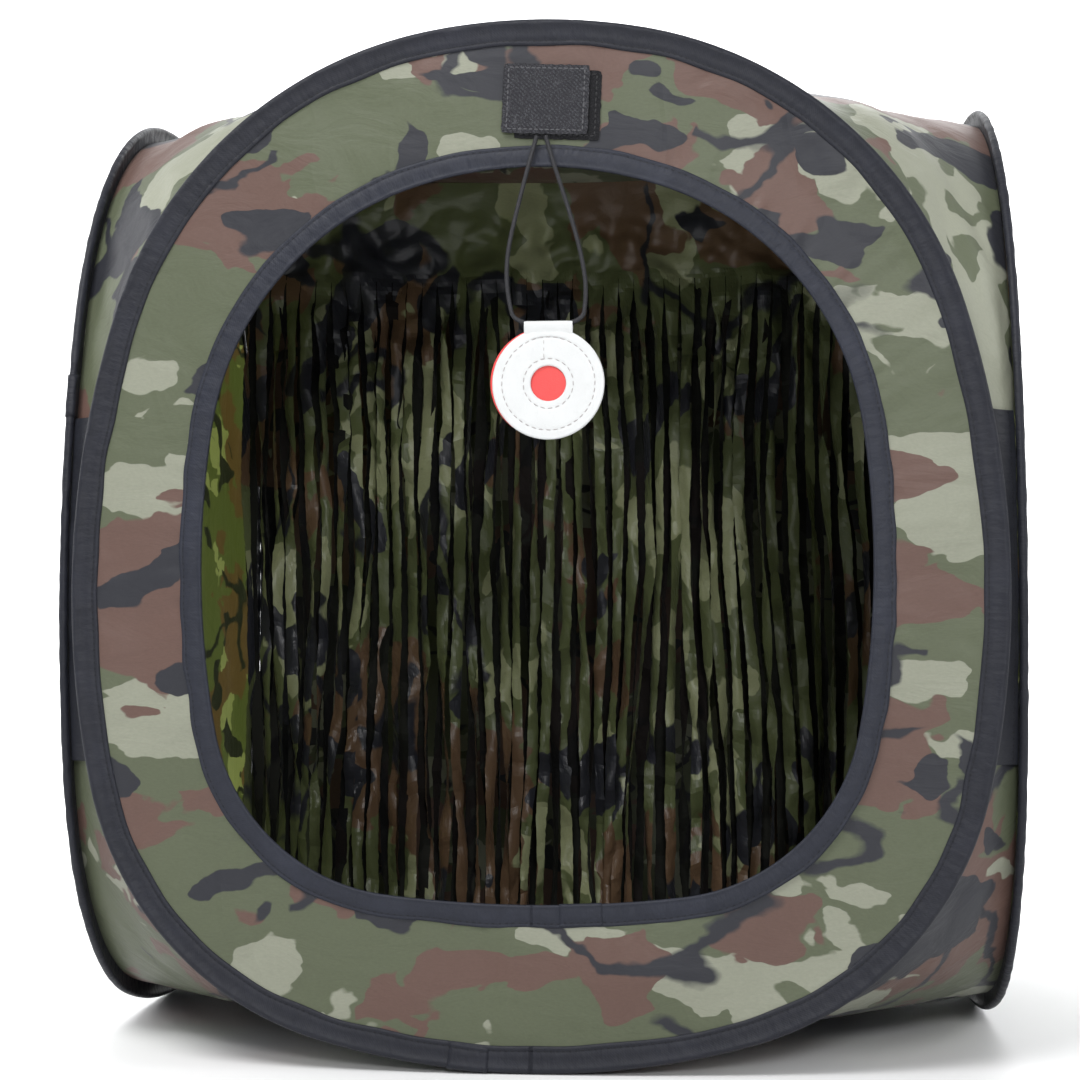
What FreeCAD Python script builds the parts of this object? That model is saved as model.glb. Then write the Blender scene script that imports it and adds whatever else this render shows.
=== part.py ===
import FreeCAD, Part
import math
import os

from FreeCAD import Vector

# Pop-up target catch tent: four spring hoops in black sleeves around a camouflage fabric box, an opening
# in the front, a slit-strip curtain inside and a round target on an elastic cord in front of the opening.
# Millimetres. X to the right, Y from front to back, Z up. The origin is on the ground, at the middle of
# the underside of the floor.

# ---- driving dimensions ----
HOOP_WIDTH = 464.0
HOOP_HEIGHT = 520.0
HOOP_MID_HEIGHT = 237.0       # height of the widest point of a hoop
# radii of the arcs of an outline, as shares of its width: bottom, lower corner, side, upper corner, top
HOOP_ROUNDNESS = (0.838, 0.354, 1.01, 0.44, 0.638)
AXIS_INSET = 3.0              # from the edge of a hoop to the corner axis that it turns about
PANEL_OFFSET = 4.0            # from the corner axes out to the middle plane of a panel

WIRE_RADIUS = 1.25
WIRE_GAP = 0.4                # between the two ends of a wire, inside its ferrule
FERRULE_RADIUS = 1.6
FERRULE_LENGTH = 30.0
FERRULE_ANGLE = 95.0          # where the ends of the wire meet, in degrees below the horizontal
CLEARANCE = 0.05              # between pieces that lie in each other
BODY_GAP = 0.3                # between fabric on different moving bodies

SLEEVE_WIDTH = 13.0
SLEEVE_RADIUS = 2.2           # of the bulge round the wire
PLY_HALF = 1.0                # half the thickness of a folded tape with the fabric in it
PANEL_THICKNESS = 0.6
SEAM_DEPTH = 7.5              # how far a panel reaches into a sleeve

RING_SIDE = 66.0              # widths of the front panel round its opening
RING_TOP = 74.4
RING_BOTTOM = 81.6
OPENING_MID_HEIGHT = 249.6    # height of the widest point of the opening
OPENING_ROUNDNESS = (1.837, 0.298, 1.392, 0.443, 0.59)
BINDING_WIDTH = 11.0
BINDING_FOLD = 2.2            # from the edge of the opening to the cut edge of the panel

TAPE_HALF_LENGTH = 80.0       # of a corner tape, above and below the widest point
TAPE_THICKNESS = 0.8
KNUCKLE_RADIUS = 1.9
TAPE_LEAF = 12.0                # of a corner tape over a panel, from the edge of the hoop

SKIN = 0.8                    # thickness of the roof and the floor
SKIN_EDGE = 9.0               # their seam, from the outer edge of a hoop
SKIN_CORNER = 85.0            # they end this far above and below the widest point
FLOOR_FLAT = 110.0            # half the width of the part of the floor that lies flat
TRIM = 1.0                    # the roof and the floor are made this much too long, then trimmed
HOLLOW_PAST = 5.0             # the solid that hollows one of them reaches this far past its end

CURTAIN_SHARE = 0.6           # place of the curtain, as a share of the depth
CURTAIN_INSET = 24.0          # from a corner-axis plane to the side of the curtain
HEADER_DEPTH = 78.0           # from the top of the hoops to the slits
HEADER_THICKNESS = 1.6
STRIP_BOTTOM = 30.0
STRIP_PITCH = 9.4
STRIP_GAP = 0.7
STRIP_THICKNESS = 0.6
STRIP_ROOT = 5.0              # height of the band that the strips are cut from
STRIP_OFFSET = 1.7            # from the curtain's middle plane to a layer's middle plane

PATCH_WIDTH = 43.0
PATCH_HEIGHT = 35.0
PATCH_CORNER = 2.0
PATCH_TILT = 2.5              # degrees
LOOP_PATCH_THICKNESS = 1.2
LOOP_PATCH_CENTRE = (12.3, 43.5)   # X, and distance below the top of the hoop
HOOK_PATCH_THICKNESS = 1.5
HOOK_PATCH_CENTRE = (6.4, 41.0)

CORD_RADIUS = 1.1
CORD_ROUTE = (                # the loop from end to end: X, and distance below the top of the hoop
    (2.0, 59.5), (-1.5, 72.0), (-7.0, 93.0), (-12.2, 115.0), (-13.2, 129.0), (-12.0, 141.0),
    (-9.0, 153.8), (24.6, 153.8), (26.4, 141.0), (26.0, 129.0), (22.4, 112.0), (16.8, 93.0),
    (10.2, 73.0), (6.4, 59.5),
)
TUNNEL_POINT = 6              # the cord's straight run in the tab starts at this point of the route
ARC_SHARE = 0.45              # of the shorter run beside a turn, taken by the turn's arc

DISC_RADIUS = 27.75
DISC_X = 7.8
DISC_THICKNESS = 1.1
WINDOW_RADIUS = 8.75
BACK_DISC_RADIUS = 27.2
TAB_WIDTH = 24.0
TUNNEL_CLEARANCE = 0.25      # round the cord in the tab
TUNNEL_WALL = 0.6
STITCH_RINGS = (23.0, 12.3)   # radii
STITCH_WIDTH = 0.6
STITCH_HEIGHT = 0.3

# ---- worked-out places ----
AXIS = HOOP_WIDTH / 2 + AXIS_INSET            # the corner axes are at (+-AXIS, +-AXIS)
PLANE = AXIS + PANEL_OFFSET                   # middle plane of a panel
SEWN_PLANE = PLANE - PLY_HALF                 # inner face of the sleeves' tape
CURTAIN_Y = -AXIS + 2 * AXIS * CURTAIN_SHARE
CURTAIN_HALF = AXIS - CURTAIN_INSET
PATCH_BACK = PLANE + PANEL_THICKNESS / 2
HOOK_BACK = PATCH_BACK + LOOP_PATCH_THICKNESS + BODY_GAP
CORD_Y = -(HOOK_BACK + CORD_RADIUS)
TUNNEL_BORE = CORD_RADIUS + TUNNEL_CLEARANCE
DISC_DROP = BACK_DISC_RADIUS + TUNNEL_BORE + TUNNEL_WALL + CLEARANCE   # from the tunnel to the discs' middle
TUNNEL_Z = HOOP_HEIGHT - CORD_ROUTE[TUNNEL_POINT][1]
DISC_CENTRE = (DISC_X, TUNNEL_Z - DISC_DROP)
HEADER_BOTTOM = HOOP_HEIGHT - HEADER_DEPTH
UP = Vector(0, 0, 1)
RIGHT = Vector(1, 0, 0)
BACKWARD = Vector(0, 1, 0)


def save(name, shape):
    """Writes one sub-part."""
    shape.exportStep("parts/" + name + ".step")
    print(name, len(shape.Solids), "solid(s)", round(shape.Volume, 1), "mm3")


def small_circle(big_a, radius_a, big_b, radius_b, radius, up):
    """Centre of the circle that touches two larger circles from inside; up is 1 for the upper one, or -1."""
    reach_a = radius_a - radius
    reach_b = radius_b - radius
    dx = big_b[0] - big_a[0]
    dz = big_b[1] - big_a[1]
    apart = math.hypot(dx, dz)
    along = (reach_a ** 2 - reach_b ** 2 + apart ** 2) / (2 * apart)
    across = math.sqrt(reach_a ** 2 - along ** 2)
    foot_x = big_a[0] + dx / apart * along
    foot_z = big_a[1] + dz / apart * along
    turn = up * across / apart * math.copysign(1, dx)
    return (foot_x - turn * dz, foot_z + turn * dx)


def outline(width, height, base, middle, roundness):
    """A closed outline of eight tangent arcs, counter-clockwise: (centre x, centre z, radius, from, to)."""
    bottom_r, low_r, side_r, high_r, top_r = [share * width for share in roundness]
    bottom = (0.0, base + bottom_r)
    side = (width / 2 - side_r, middle)
    top = (0.0, base + height - top_r)
    low = small_circle(bottom, bottom_r, side, side_r, low_r, -1)
    high = small_circle(top, top_r, side, side_r, high_r, 1)
    a = math.atan2(low[1] - bottom[1], low[0] - bottom[0])
    b = math.atan2(low[1] - side[1], low[0] - side[0])
    c = math.atan2(high[1] - side[1], high[0] - side[0])
    d = math.atan2(high[1] - top[1], high[0] - top[0])
    half = math.pi
    return [
        (bottom[0], bottom[1], bottom_r, -half - a, a),
        (low[0], low[1], low_r, a, b),
        (side[0], side[1], side_r, b, c),
        (high[0], high[1], high_r, c, d),
        (top[0], top[1], top_r, d, half - d),
        (-high[0], high[1], high_r, half - d, half - c),
        (-side[0], side[1], side_r, half - c, half - b),
        (-low[0], low[1], low_r, half - b, half - a),
    ]


def on_arc(arc, angle, inset):
    """Point of an arc, moved inwards by inset, in the plane Y = 0."""
    x, z, radius = arc[:3]
    return Vector(x + (radius - inset) * math.cos(angle), 0, z + (radius - inset) * math.sin(angle))


def outline_wire(arcs, inset):
    """The outline, moved inwards by inset, in the plane Y = 0."""
    edges = []
    for arc in arcs:
        start, end = arc[3:]
        points = [on_arc(arc, t, inset) for t in (start, (start + end) / 2, end)]
        edges.append(Part.Arc(*points).toShape())
    return Part.Wire(edges)


def plate(face, thickness):
    """A flat plate of a face's outline, centred on the plane Y = 0."""
    solid = face.extrude(Vector(0, thickness, 0))
    solid.translate(Vector(0, -thickness / 2, 0))
    return solid


def swept(arc, make_face):
    """A section carried round one arc: make_face takes the arc's radius and gives a face in X and Y."""
    x, z, radius, start, end = arc
    face = make_face(radius)
    face.rotate(Vector(0, 0, 0), BACKWARD, -math.degrees(start))
    face.translate(Vector(x, 0, z))
    return face.revolve(Vector(x, 0, z), BACKWARD, -math.degrees(end - start))


def swept_ring(pieces):
    """One solid from (arc, section) pairs that lie end to end."""
    solids = [swept(arc, section) for arc, section in pieces]
    return solids[0].multiFuse(solids[1:]).removeSplitter().Solids[0]


def disc_face(radius, at):
    return Part.Face(Part.Wire(Part.makeCircle(radius, Vector(at, 0, 0), UP)))


def wire_section(radius):
    return disc_face(WIRE_RADIUS, radius - SLEEVE_RADIUS)


def ferrule_section(radius):
    hole = disc_face(WIRE_RADIUS + CLEARANCE / 2, radius - SLEEVE_RADIUS)
    return disc_face(FERRULE_RADIUS, radius - SLEEVE_RADIUS).cut(hole).Faces[0]


def sleeve_section(radius, channel):
    """Folded tape: a round bulge with a channel for the wire, and two plies with a slot between them."""
    slot = PANEL_THICKNESS / 2 + CLEARANCE
    bulge = radius - SLEEVE_RADIUS
    neck = bulge - math.sqrt(SLEEVE_RADIUS ** 2 - PLY_HALF ** 2)
    inner = radius - SLEEVE_WIDTH
    slot_end = inner + SEAM_DEPTH + CLEARANCE
    corners = [
        Vector(neck, PLY_HALF, 0), Vector(inner, PLY_HALF, 0), Vector(inner, slot, 0),
        Vector(slot_end, slot, 0), Vector(slot_end, -slot, 0), Vector(inner, -slot, 0),
        Vector(inner, -PLY_HALF, 0), Vector(neck, -PLY_HALF, 0),
    ]
    edges = [Part.LineSegment(p, q).toShape() for p, q in zip(corners, corners[1:])]
    edges.append(Part.Arc(corners[-1], Vector(radius, 0, 0), corners[0]).toShape())
    return Part.Face(Part.Wire(edges)).cut(disc_face(channel, bulge)).Faces[0]


def plain_sleeve(radius):
    return sleeve_section(radius, WIRE_RADIUS + CLEARANCE)


def ferrule_sleeve(radius):
    return sleeve_section(radius, FERRULE_RADIUS + CLEARANCE)


def binding_section(radius):
    """Tape folded over the edge of the opening, open outwards."""
    slot = PANEL_THICKNESS / 2 + CLEARANCE
    outer = radius + BINDING_WIDTH
    slot_end = radius + BINDING_FOLD - CLEARANCE
    corners = [
        Vector(radius + PLY_HALF, -PLY_HALF, 0), Vector(outer, -PLY_HALF, 0), Vector(outer, -slot, 0),
        Vector(slot_end, -slot, 0), Vector(slot_end, slot, 0), Vector(outer, slot, 0),
        Vector(outer, PLY_HALF, 0), Vector(radius + PLY_HALF, PLY_HALF, 0),
    ]
    edges = [Part.LineSegment(p, q).toShape() for p, q in zip(corners, corners[1:])]
    edges.append(Part.Arc(corners[-1], Vector(radius, 0, 0), corners[0]).toShape())
    return Part.Face(Part.Wire(edges))


def split_bottom(arcs, half_length):
    """The hoop's arcs with the bottom one cut round the wire joint: (before, joint, after, the others)."""
    x, z, radius, start, end = arcs[0]
    joint = -math.radians(FERRULE_ANGLE)
    half = half_length / (radius - SLEEVE_RADIUS)
    before = (x, z, radius, start, joint - half)
    middle = (x, z, radius, joint - half, joint + half)
    after = (x, z, radius, joint + half, end)
    return before, middle, after, arcs[1:]


def hoop_wire(arcs):
    before, _, after, others = split_bottom(arcs, WIRE_GAP / 2)
    return swept_ring([(arc, wire_section) for arc in [after] + others + [before]])


def wire_ferrule(arcs):
    _, middle, _, _ = split_bottom(arcs, FERRULE_LENGTH / 2)
    return swept(middle, ferrule_section)


def hoop_sleeve(arcs):
    before, middle, after, others = split_bottom(arcs, FERRULE_LENGTH / 2 + CLEARANCE)
    pieces = [(before, plain_sleeve), (middle, ferrule_sleeve), (after, plain_sleeve)]
    return swept_ring(pieces + [(arc, plain_sleeve) for arc in others])


def panel_face(arcs):
    return Part.Face(outline_wire(arcs, SLEEVE_WIDTH - SEAM_DEPTH))


def front_panel(arcs, opening):
    hole = Part.Face(outline_wire(opening, -BINDING_FOLD))
    return plate(panel_face(arcs).cut(hole), PANEL_THICKNESS)


def corner_tape(arcs):
    """Hinge tape at the right-hand end of a panel: leaf, web and the round knuckle on the corner axis."""
    low = HOOP_MID_HEIGHT - TAPE_HALF_LENGTH
    length = 2 * TAPE_HALF_LENGTH
    half = TAPE_THICKNESS / 2
    reach = AXIS_INSET + TAPE_LEAF
    leaf = Part.makeBox(reach + half, TAPE_THICKNESS, length, Vector(AXIS - reach, -half, low))
    hoop = plate(Part.Face(outline_wire(arcs, 0)), 4 * SLEEVE_RADIUS)
    leaf = leaf.cut(hoop)
    web = Part.makeBox(TAPE_THICKNESS, PANEL_OFFSET + half, length, Vector(AXIS - half, -half, low))
    knuckle = Part.makeCylinder(KNUCKLE_RADIUS, length, Vector(AXIS, PANEL_OFFSET, low), UP)
    tape = leaf.multiFuse([web, knuckle]).removeSplitter()
    return tape.Solids[0]


def placed(shape, turn):
    """Moves a hoop's piece from the plane Y = 0 to its side: 0 front, 90 right, 180 back, -90 left."""
    moved = shape.copy()
    moved.translate(Vector(0, -PLANE, 0))
    moved.rotate(Vector(0, 0, 0), UP, turn)
    return moved


def skin_profile(arcs, inset, corner, flat_edges):
    """Half profile of the roof or floor across a diagonal: (distance from the middle, height) edges."""
    edges = list(flat_edges)
    for arc, start, end in corner:
        points = []
        for t in (start, (start + end) / 2, end):
            p = on_arc(arc, t, inset)
            points.append(Vector((SEWN_PLANE + p.x) / math.sqrt(2), 0, p.z))
        edges.append(Part.Arc(*points).toShape())
    return edges


def crossed_prisms(edges, z_close):
    """The space under (or over) a profile, carried along both diagonals, where the two overlap."""
    first = edges[0].Vertexes[0].Point
    last = edges[-1].Vertexes[-1].Point
    half = list(edges)
    half.append(Part.LineSegment(last, Vector(last.x, 0, z_close)).toShape())
    half.append(Part.LineSegment(Vector(last.x, 0, z_close), Vector(0, 0, z_close)).toShape())
    half.append(Part.LineSegment(Vector(0, 0, z_close), first).toShape())
    face = Part.Face(Part.Wire(half))
    long = 4 * PLANE
    right = face.extrude(Vector(0, long, 0))
    right.translate(Vector(0, -long / 2, 0))
    left = right.mirror(Vector(0, 0, 0), RIGHT)
    prism = right.fuse(left).removeSplitter()
    one = prism.copy()
    one.rotate(Vector(0, 0, 0), UP, 45)
    other = prism.copy()
    other.rotate(Vector(0, 0, 0), UP, -45)
    return one.common(other)


def angle_at_height(arc, inset, z):
    return math.asin((z - arc[1]) / (arc[2] - inset))


def roof_solid(arcs, inset, z_low):
    side, high, top = arcs[2], arcs[3], arcs[4]
    corner = [(top, math.pi / 2, top[3]), (high, high[4], high[3])]
    if z_low < on_arc(side, side[4], inset).z:
        corner.append((side, side[4], angle_at_height(side, inset, z_low)))
    height = HOOP_HEIGHT - inset
    flat = Part.LineSegment(Vector(0, 0, height), Vector(SEWN_PLANE / math.sqrt(2), 0, height)).toShape()
    return crossed_prisms(skin_profile(arcs, inset, corner, [flat]), z_low - TRIM)


def floor_solid(arcs, rise, inset, z_high):
    """The floor lies flat in the middle and climbs to its seams in two small arcs."""
    bottom, low, side = arcs[0], arcs[1], arcs[2]
    seam = SEWN_PLANE / math.sqrt(2)
    run = seam - FLOOR_FLAT
    climb = inset - rise
    radius = (run ** 2 + climb ** 2) / (4 * climb)
    quarter = math.atan(climb / run)
    dip_x = radius * math.sin(quarter)
    dip_z = radius * (1 - math.cos(quarter))
    start = Vector(FLOOR_FLAT, 0, rise)
    middle = Vector(FLOOR_FLAT + run / 2, 0, (rise + inset) / 2)
    end = Vector(seam, 0, inset)
    edges = [
        Part.LineSegment(Vector(0, 0, rise), start).toShape(),
        Part.Arc(start, Vector(start.x + dip_x, 0, rise + dip_z), middle).toShape(),
        Part.Arc(middle, Vector(end.x - dip_x, 0, inset - dip_z), end).toShape(),
    ]
    corner = [(bottom, -math.pi / 2, bottom[4]), (low, low[3], low[4])]
    corner.append((side, side[3], angle_at_height(side, inset, z_high)))
    return crossed_prisms(skin_profile(arcs, inset, corner, edges), z_high + TRIM)


def between_hoops(shell, y_from, y_to, z_from, z_to):
    """Trims a shell to the space between the side hoops and between two Y planes."""
    half = SEWN_PLANE - BODY_GAP
    box = Part.makeBox(2 * half, y_to - y_from, z_to - z_from, Vector(-half, y_from, z_from))
    return shell.common(box).Solids[0]


def roof_halves(arcs):
    corner = HOOP_MID_HEIGHT + SKIN_CORNER
    shell = roof_solid(arcs, SKIN_EDGE, corner).cut(roof_solid(arcs, SKIN_EDGE + SKIN, corner - HOLLOW_PAST))
    seam = CURTAIN_Y
    front = between_hoops(shell, -SEWN_PLANE, seam - BODY_GAP / 2, corner, HOOP_HEIGHT)
    rear = between_hoops(shell, seam + BODY_GAP / 2, SEWN_PLANE, corner, HOOP_HEIGHT)
    return front, rear


def floor_halves(arcs):
    corner = HOOP_MID_HEIGHT - SKIN_CORNER
    outer = floor_solid(arcs, 0.0, SKIN_EDGE, corner)
    inner = floor_solid(arcs, SKIN, SKIN_EDGE + SKIN, corner + HOLLOW_PAST)
    shell = outer.cut(inner)
    seam = CURTAIN_Y
    front = between_hoops(shell, -SEWN_PLANE, seam - BODY_GAP / 2, 0, corner)
    rear = between_hoops(shell, seam + BODY_GAP / 2, SEWN_PLANE, 0, corner)
    return front, rear


def curtain_header(arcs):
    """The unslit top of the curtain, cut to the underside of the roof."""
    tall = HOOP_HEIGHT - HEADER_BOTTOM
    corner = Vector(-CURTAIN_HALF, CURTAIN_Y - HEADER_THICKNESS / 2, HEADER_BOTTOM)
    sheet = Part.makeBox(2 * CURTAIN_HALF, HEADER_THICKNESS, tall, corner)
    under_roof = roof_solid(arcs, SKIN_EDGE + SKIN + BODY_GAP, HOOP_MID_HEIGHT + SKIN_CORNER)
    return sheet.common(under_roof).Solids[0]


def strip_layer(side, shift):
    """One layer of strips: side is -1 for the front layer and 1 for the rear one."""
    count = int((2 * CURTAIN_HALF - shift) // STRIP_PITCH)
    first = -count * STRIP_PITCH / 2 + shift
    tall = HEADER_BOTTOM - BODY_GAP - STRIP_BOTTOM
    y = CURTAIN_Y + side * STRIP_OFFSET - STRIP_THICKNESS / 2
    wide = count * STRIP_PITCH - STRIP_GAP
    sheet = Part.makeBox(wide, STRIP_THICKNESS, tall, Vector(first + STRIP_GAP / 2, y, STRIP_BOTTOM))
    slits = []
    for i in range(1, count):
        corner = Vector(first + i * STRIP_PITCH - STRIP_GAP / 2, y, STRIP_BOTTOM)
        slits.append(Part.makeBox(STRIP_GAP, STRIP_THICKNESS, tall - STRIP_ROOT, corner))
    return sheet.cut(slits).Solids[0]


def patch(centre, back, thickness):
    """A patch with small round corners, in front of the plane Y = -back."""
    x = centre[0]
    z = HOOP_HEIGHT - centre[1]
    solid = Part.makeBox(
        PATCH_WIDTH, thickness, PATCH_HEIGHT,
        Vector(x - PATCH_WIDTH / 2, -back - thickness, z - PATCH_HEIGHT / 2))
    across = [e for e in solid.Edges if abs(e.Length - thickness) < CLEARANCE]
    solid = solid.makeFillet(PATCH_CORNER, across)
    solid.rotate(Vector(x, 0, z), BACKWARD, PATCH_TILT)
    return solid


def target_cord():
    """Straight runs joined by tangent arcs; each arc is as large as its two runs allow."""
    points = [Vector(x, CORD_Y, HOOP_HEIGHT - drop) for x, drop in CORD_ROUTE]
    edges = []
    here = points[0]
    for before, corner, after in zip(points, points[1:], points[2:]):
        back = before - corner
        on = after - corner
        turn = math.pi - back.getAngle(on)
        reach = ARC_SHARE * min(back.Length, on.Length)
        radius = reach / math.tan(turn / 2)
        print("cord arc radius", round(radius, 1), "turn", round(math.degrees(turn), 1))
        back.normalize()
        on.normalize()
        start = corner + back * reach
        end = corner + on * reach
        to_centre = (back + on).normalize()
        rise = radius / math.cos(turn / 2) - radius
        edges.append(Part.LineSegment(here, start).toShape())
        edges.append(Part.Arc(start, corner + to_centre * rise, end).toShape())
        here = end
    edges.append(Part.LineSegment(here, points[-1]).toShape())
    path = Part.Wire(edges)
    first = points[1] - points[0]
    circle = Part.Wire(Part.makeCircle(CORD_RADIUS, points[0], first))
    tube = path.makePipeShell([circle], True, True)
    print("cord length", round(path.Length, 1), "volume over section times length",
          round(tube.Volume / (math.pi * CORD_RADIUS ** 2 * path.Length), 4))
    return tube


def target_face():
    """White disc with a round window, and the tab that wraps round the cord in a tunnel."""
    x, z = DISC_CENTRE
    front = CORD_Y - DISC_THICKNESS
    disc = Part.makeCylinder(DISC_RADIUS, DISC_THICKNESS - CLEARANCE, Vector(x, front, z), BACKWARD)
    tall = TUNNEL_Z - z
    tab = Part.makeBox(TAB_WIDTH, DISC_THICKNESS - CLEARANCE, tall, Vector(x - TAB_WIDTH / 2, front, z))
    outer = TUNNEL_BORE + TUNNEL_WALL
    start = Vector(x - TAB_WIDTH / 2, CORD_Y, TUNNEL_Z)
    tunnel = Part.makeCylinder(outer, TAB_WIDTH, start, RIGHT)
    bore = Part.makeCylinder(TUNNEL_BORE, TAB_WIDTH, start, RIGHT)
    ahead = Vector(x, front - DISC_THICKNESS / 2, z)
    window = Part.makeCylinder(WINDOW_RADIUS, 2 * DISC_THICKNESS, ahead, BACKWARD)
    return disc.multiFuse([tab, tunnel]).cut(bore).cut(window).removeSplitter().Solids[0]


def target_back():
    x, z = DISC_CENTRE
    return Part.makeCylinder(BACK_DISC_RADIUS, DISC_THICKNESS - CLEARANCE,
                             Vector(x, CORD_Y + CLEARANCE, z), BACKWARD)


def target_stitching():
    """Two sewn rings, raised on the face."""
    x, z = DISC_CENTRE
    start = Vector(x, CORD_Y - DISC_THICKNESS - STITCH_HEIGHT, z)
    rings = []
    for radius in STITCH_RINGS:
        outer = Part.makeCylinder(radius + STITCH_WIDTH / 2, STITCH_HEIGHT, start, BACKWARD)
        rings.append(outer.cut(Part.makeCylinder(radius - STITCH_WIDTH / 2, STITCH_HEIGHT, start, BACKWARD)))
    return Part.makeCompound(rings)


def main():
    os.makedirs("parts", exist_ok=True)
    arcs = outline(HOOP_WIDTH, HOOP_HEIGHT, 0.0, HOOP_MID_HEIGHT, HOOP_ROUNDNESS)
    opening_width = HOOP_WIDTH - 2 * RING_SIDE
    opening_height = HOOP_HEIGHT - RING_TOP - RING_BOTTOM
    opening = outline(opening_width, opening_height, RING_BOTTOM, OPENING_MID_HEIGHT, OPENING_ROUNDNESS)
    hoop_parts = {
        "hoop_wire": hoop_wire(arcs),
        "wire_ferrule": wire_ferrule(arcs),
        "hoop_sleeve": hoop_sleeve(arcs),
    }
    disc = plate(panel_face(arcs), PANEL_THICKNESS)
    for side, turn in (("front", 0), ("right", 90), ("back", 180), ("left", -90)):
        for name, shape in hoop_parts.items():
            save(side + "_" + name, placed(shape, turn))
        if side == "front":
            save("front_panel", placed(front_panel(arcs, opening), turn))
        else:
            save(side + "_panel", placed(disc, turn))
    save("opening_binding", placed(swept_ring([(arc, binding_section) for arc in opening]), 0))

    tape = corner_tape(arcs)
    mirrored = tape.mirror(Vector(0, 0, 0), RIGHT)
    save("front_right_tape", placed(tape, 0))
    save("front_left_tape", placed(mirrored, 0))
    save("back_right_tape", placed(tape, 90))
    save("back_left_tape", placed(mirrored, -90))

    roof_front, roof_rear = roof_halves(arcs)
    save("roof_front", roof_front)
    save("roof_rear", roof_rear)
    floor_front, floor_rear = floor_halves(arcs)
    save("floor_front", floor_front)
    save("floor_rear", floor_rear)

    save("curtain_header", curtain_header(arcs))
    save("front_strips", strip_layer(-1, 0.0))
    save("rear_strips", strip_layer(1, STRIP_PITCH / 2))

    save("loop_patch", patch(LOOP_PATCH_CENTRE, PATCH_BACK, LOOP_PATCH_THICKNESS))
    save("hook_patch", patch(HOOK_PATCH_CENTRE, HOOK_BACK, HOOK_PATCH_THICKNESS))
    save("target_cord", target_cord())
    save("target_face", target_face())
    save("target_back", target_back())
    save("target_stitching", target_stitching())


main()
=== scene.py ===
import math

import bmesh
import bpy
import numpy as np
from mathutils import Matrix, Vector


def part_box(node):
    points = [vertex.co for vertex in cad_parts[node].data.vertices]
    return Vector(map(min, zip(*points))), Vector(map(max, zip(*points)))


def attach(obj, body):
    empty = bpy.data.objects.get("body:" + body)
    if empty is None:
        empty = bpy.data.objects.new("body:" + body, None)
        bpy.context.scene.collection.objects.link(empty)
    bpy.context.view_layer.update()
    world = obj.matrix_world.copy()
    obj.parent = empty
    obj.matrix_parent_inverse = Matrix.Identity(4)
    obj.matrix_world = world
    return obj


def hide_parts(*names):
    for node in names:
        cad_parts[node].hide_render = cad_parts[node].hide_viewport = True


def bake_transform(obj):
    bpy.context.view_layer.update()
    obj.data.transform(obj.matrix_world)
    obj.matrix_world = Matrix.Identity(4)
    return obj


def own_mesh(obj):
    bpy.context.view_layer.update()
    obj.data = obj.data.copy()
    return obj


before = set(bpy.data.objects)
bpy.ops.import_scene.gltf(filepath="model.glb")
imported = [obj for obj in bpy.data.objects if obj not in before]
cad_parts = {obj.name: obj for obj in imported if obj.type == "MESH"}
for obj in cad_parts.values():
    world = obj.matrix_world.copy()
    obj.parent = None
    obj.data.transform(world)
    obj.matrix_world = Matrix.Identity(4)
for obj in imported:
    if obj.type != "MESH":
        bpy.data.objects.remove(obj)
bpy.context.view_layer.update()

# Looks of a pop-up catch tent: four sprung hoops, camouflage fabric, a slit-strip curtain and a target.
# Numbers inside a pattern's formula are its strengths and wavelengths, in metres where they are lengths.
# Metres, in the frame of the CAD model. Each fabric piece carries a UV map in metres, along its cloth.


def span(node):
    """Width, depth and height of a CAD node, and its middle."""
    low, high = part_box(node)
    return high - low, (high + low) / 2


# ---- sizes read from the frame ----
HOOP_SIZE, HOOP_MIDDLE = span("front_hoop_sleeve")
OPENING_SIZE, OPENING_MIDDLE = span("opening_binding")
PLANE = -HOOP_MIDDLE.y                         # middle plane of each panel, from the centre
HOOP_WIDTH = HOOP_SIZE.x
HOOP_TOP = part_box("front_hoop_sleeve")[1].z
WIDEST = span("front_right_tape")[1].z         # height of the widest point of a hoop
CURTAIN_LOW, CURTAIN_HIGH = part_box("curtain_header")
CURTAIN_Y = (CURTAIN_LOW.y + CURTAIN_HIGH.y) / 2
CURTAIN_HALF = CURTAIN_HIGH.x
SLIT_TOP = CURTAIN_LOW.z
STRIP_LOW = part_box("front_strips")[0].z
CORD_Y = span("target_cord")[1].y
PATCH_MIDDLE = span("hook_patch")[1]
DISC_MIDDLE = span("target_back")[1]

# ---- the same choices as the CAD source ----
HOOP_ROUNDNESS = (0.838, 0.354, 1.01, 0.44, 0.638)      # bottom, lower corner, side, upper corner, top
OPENING_ROUNDNESS = (1.837, 0.298, 1.392, 0.443, 0.59)
OPENING_WIDEST = 0.2496
SLEEVE_WIDTH = 0.013
SLEEVE_RADIUS = 0.0022
BINDING_WIDTH = 0.011
SLEEVE_SEAM = SLEEVE_WIDTH - 0.0022            # how far in from the fold each tape is sewn
BINDING_SEAM = BINDING_WIDTH - 0.0019
SKIN_EDGE = 0.009
TAPE_HALF = 0.085
PATCH_TILT = math.radians(2.5)
CORD_RADIUS = 0.0011
CORD_ROUTE = (                # the loop from end to end: X, and distance below the top of the hoop
    (0.0020, 0.0595), (-0.0015, 0.0720), (-0.0070, 0.0930), (-0.0122, 0.1150), (-0.0132, 0.1290),
    (-0.0120, 0.1410), (-0.0090, 0.1538), (0.0246, 0.1538), (0.0264, 0.1410), (0.0260, 0.1290),
    (0.0224, 0.1120), (0.0168, 0.0930), (0.0102, 0.0730), (0.0064, 0.0595),
)
TUNNEL_Z = HOOP_TOP - 0.1538                   # where the cord runs through the tab
DISC_RADIUS = 0.02775
BACK_DISC_RADIUS = 0.0272
RED_WINDOW = 0.00875
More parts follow.
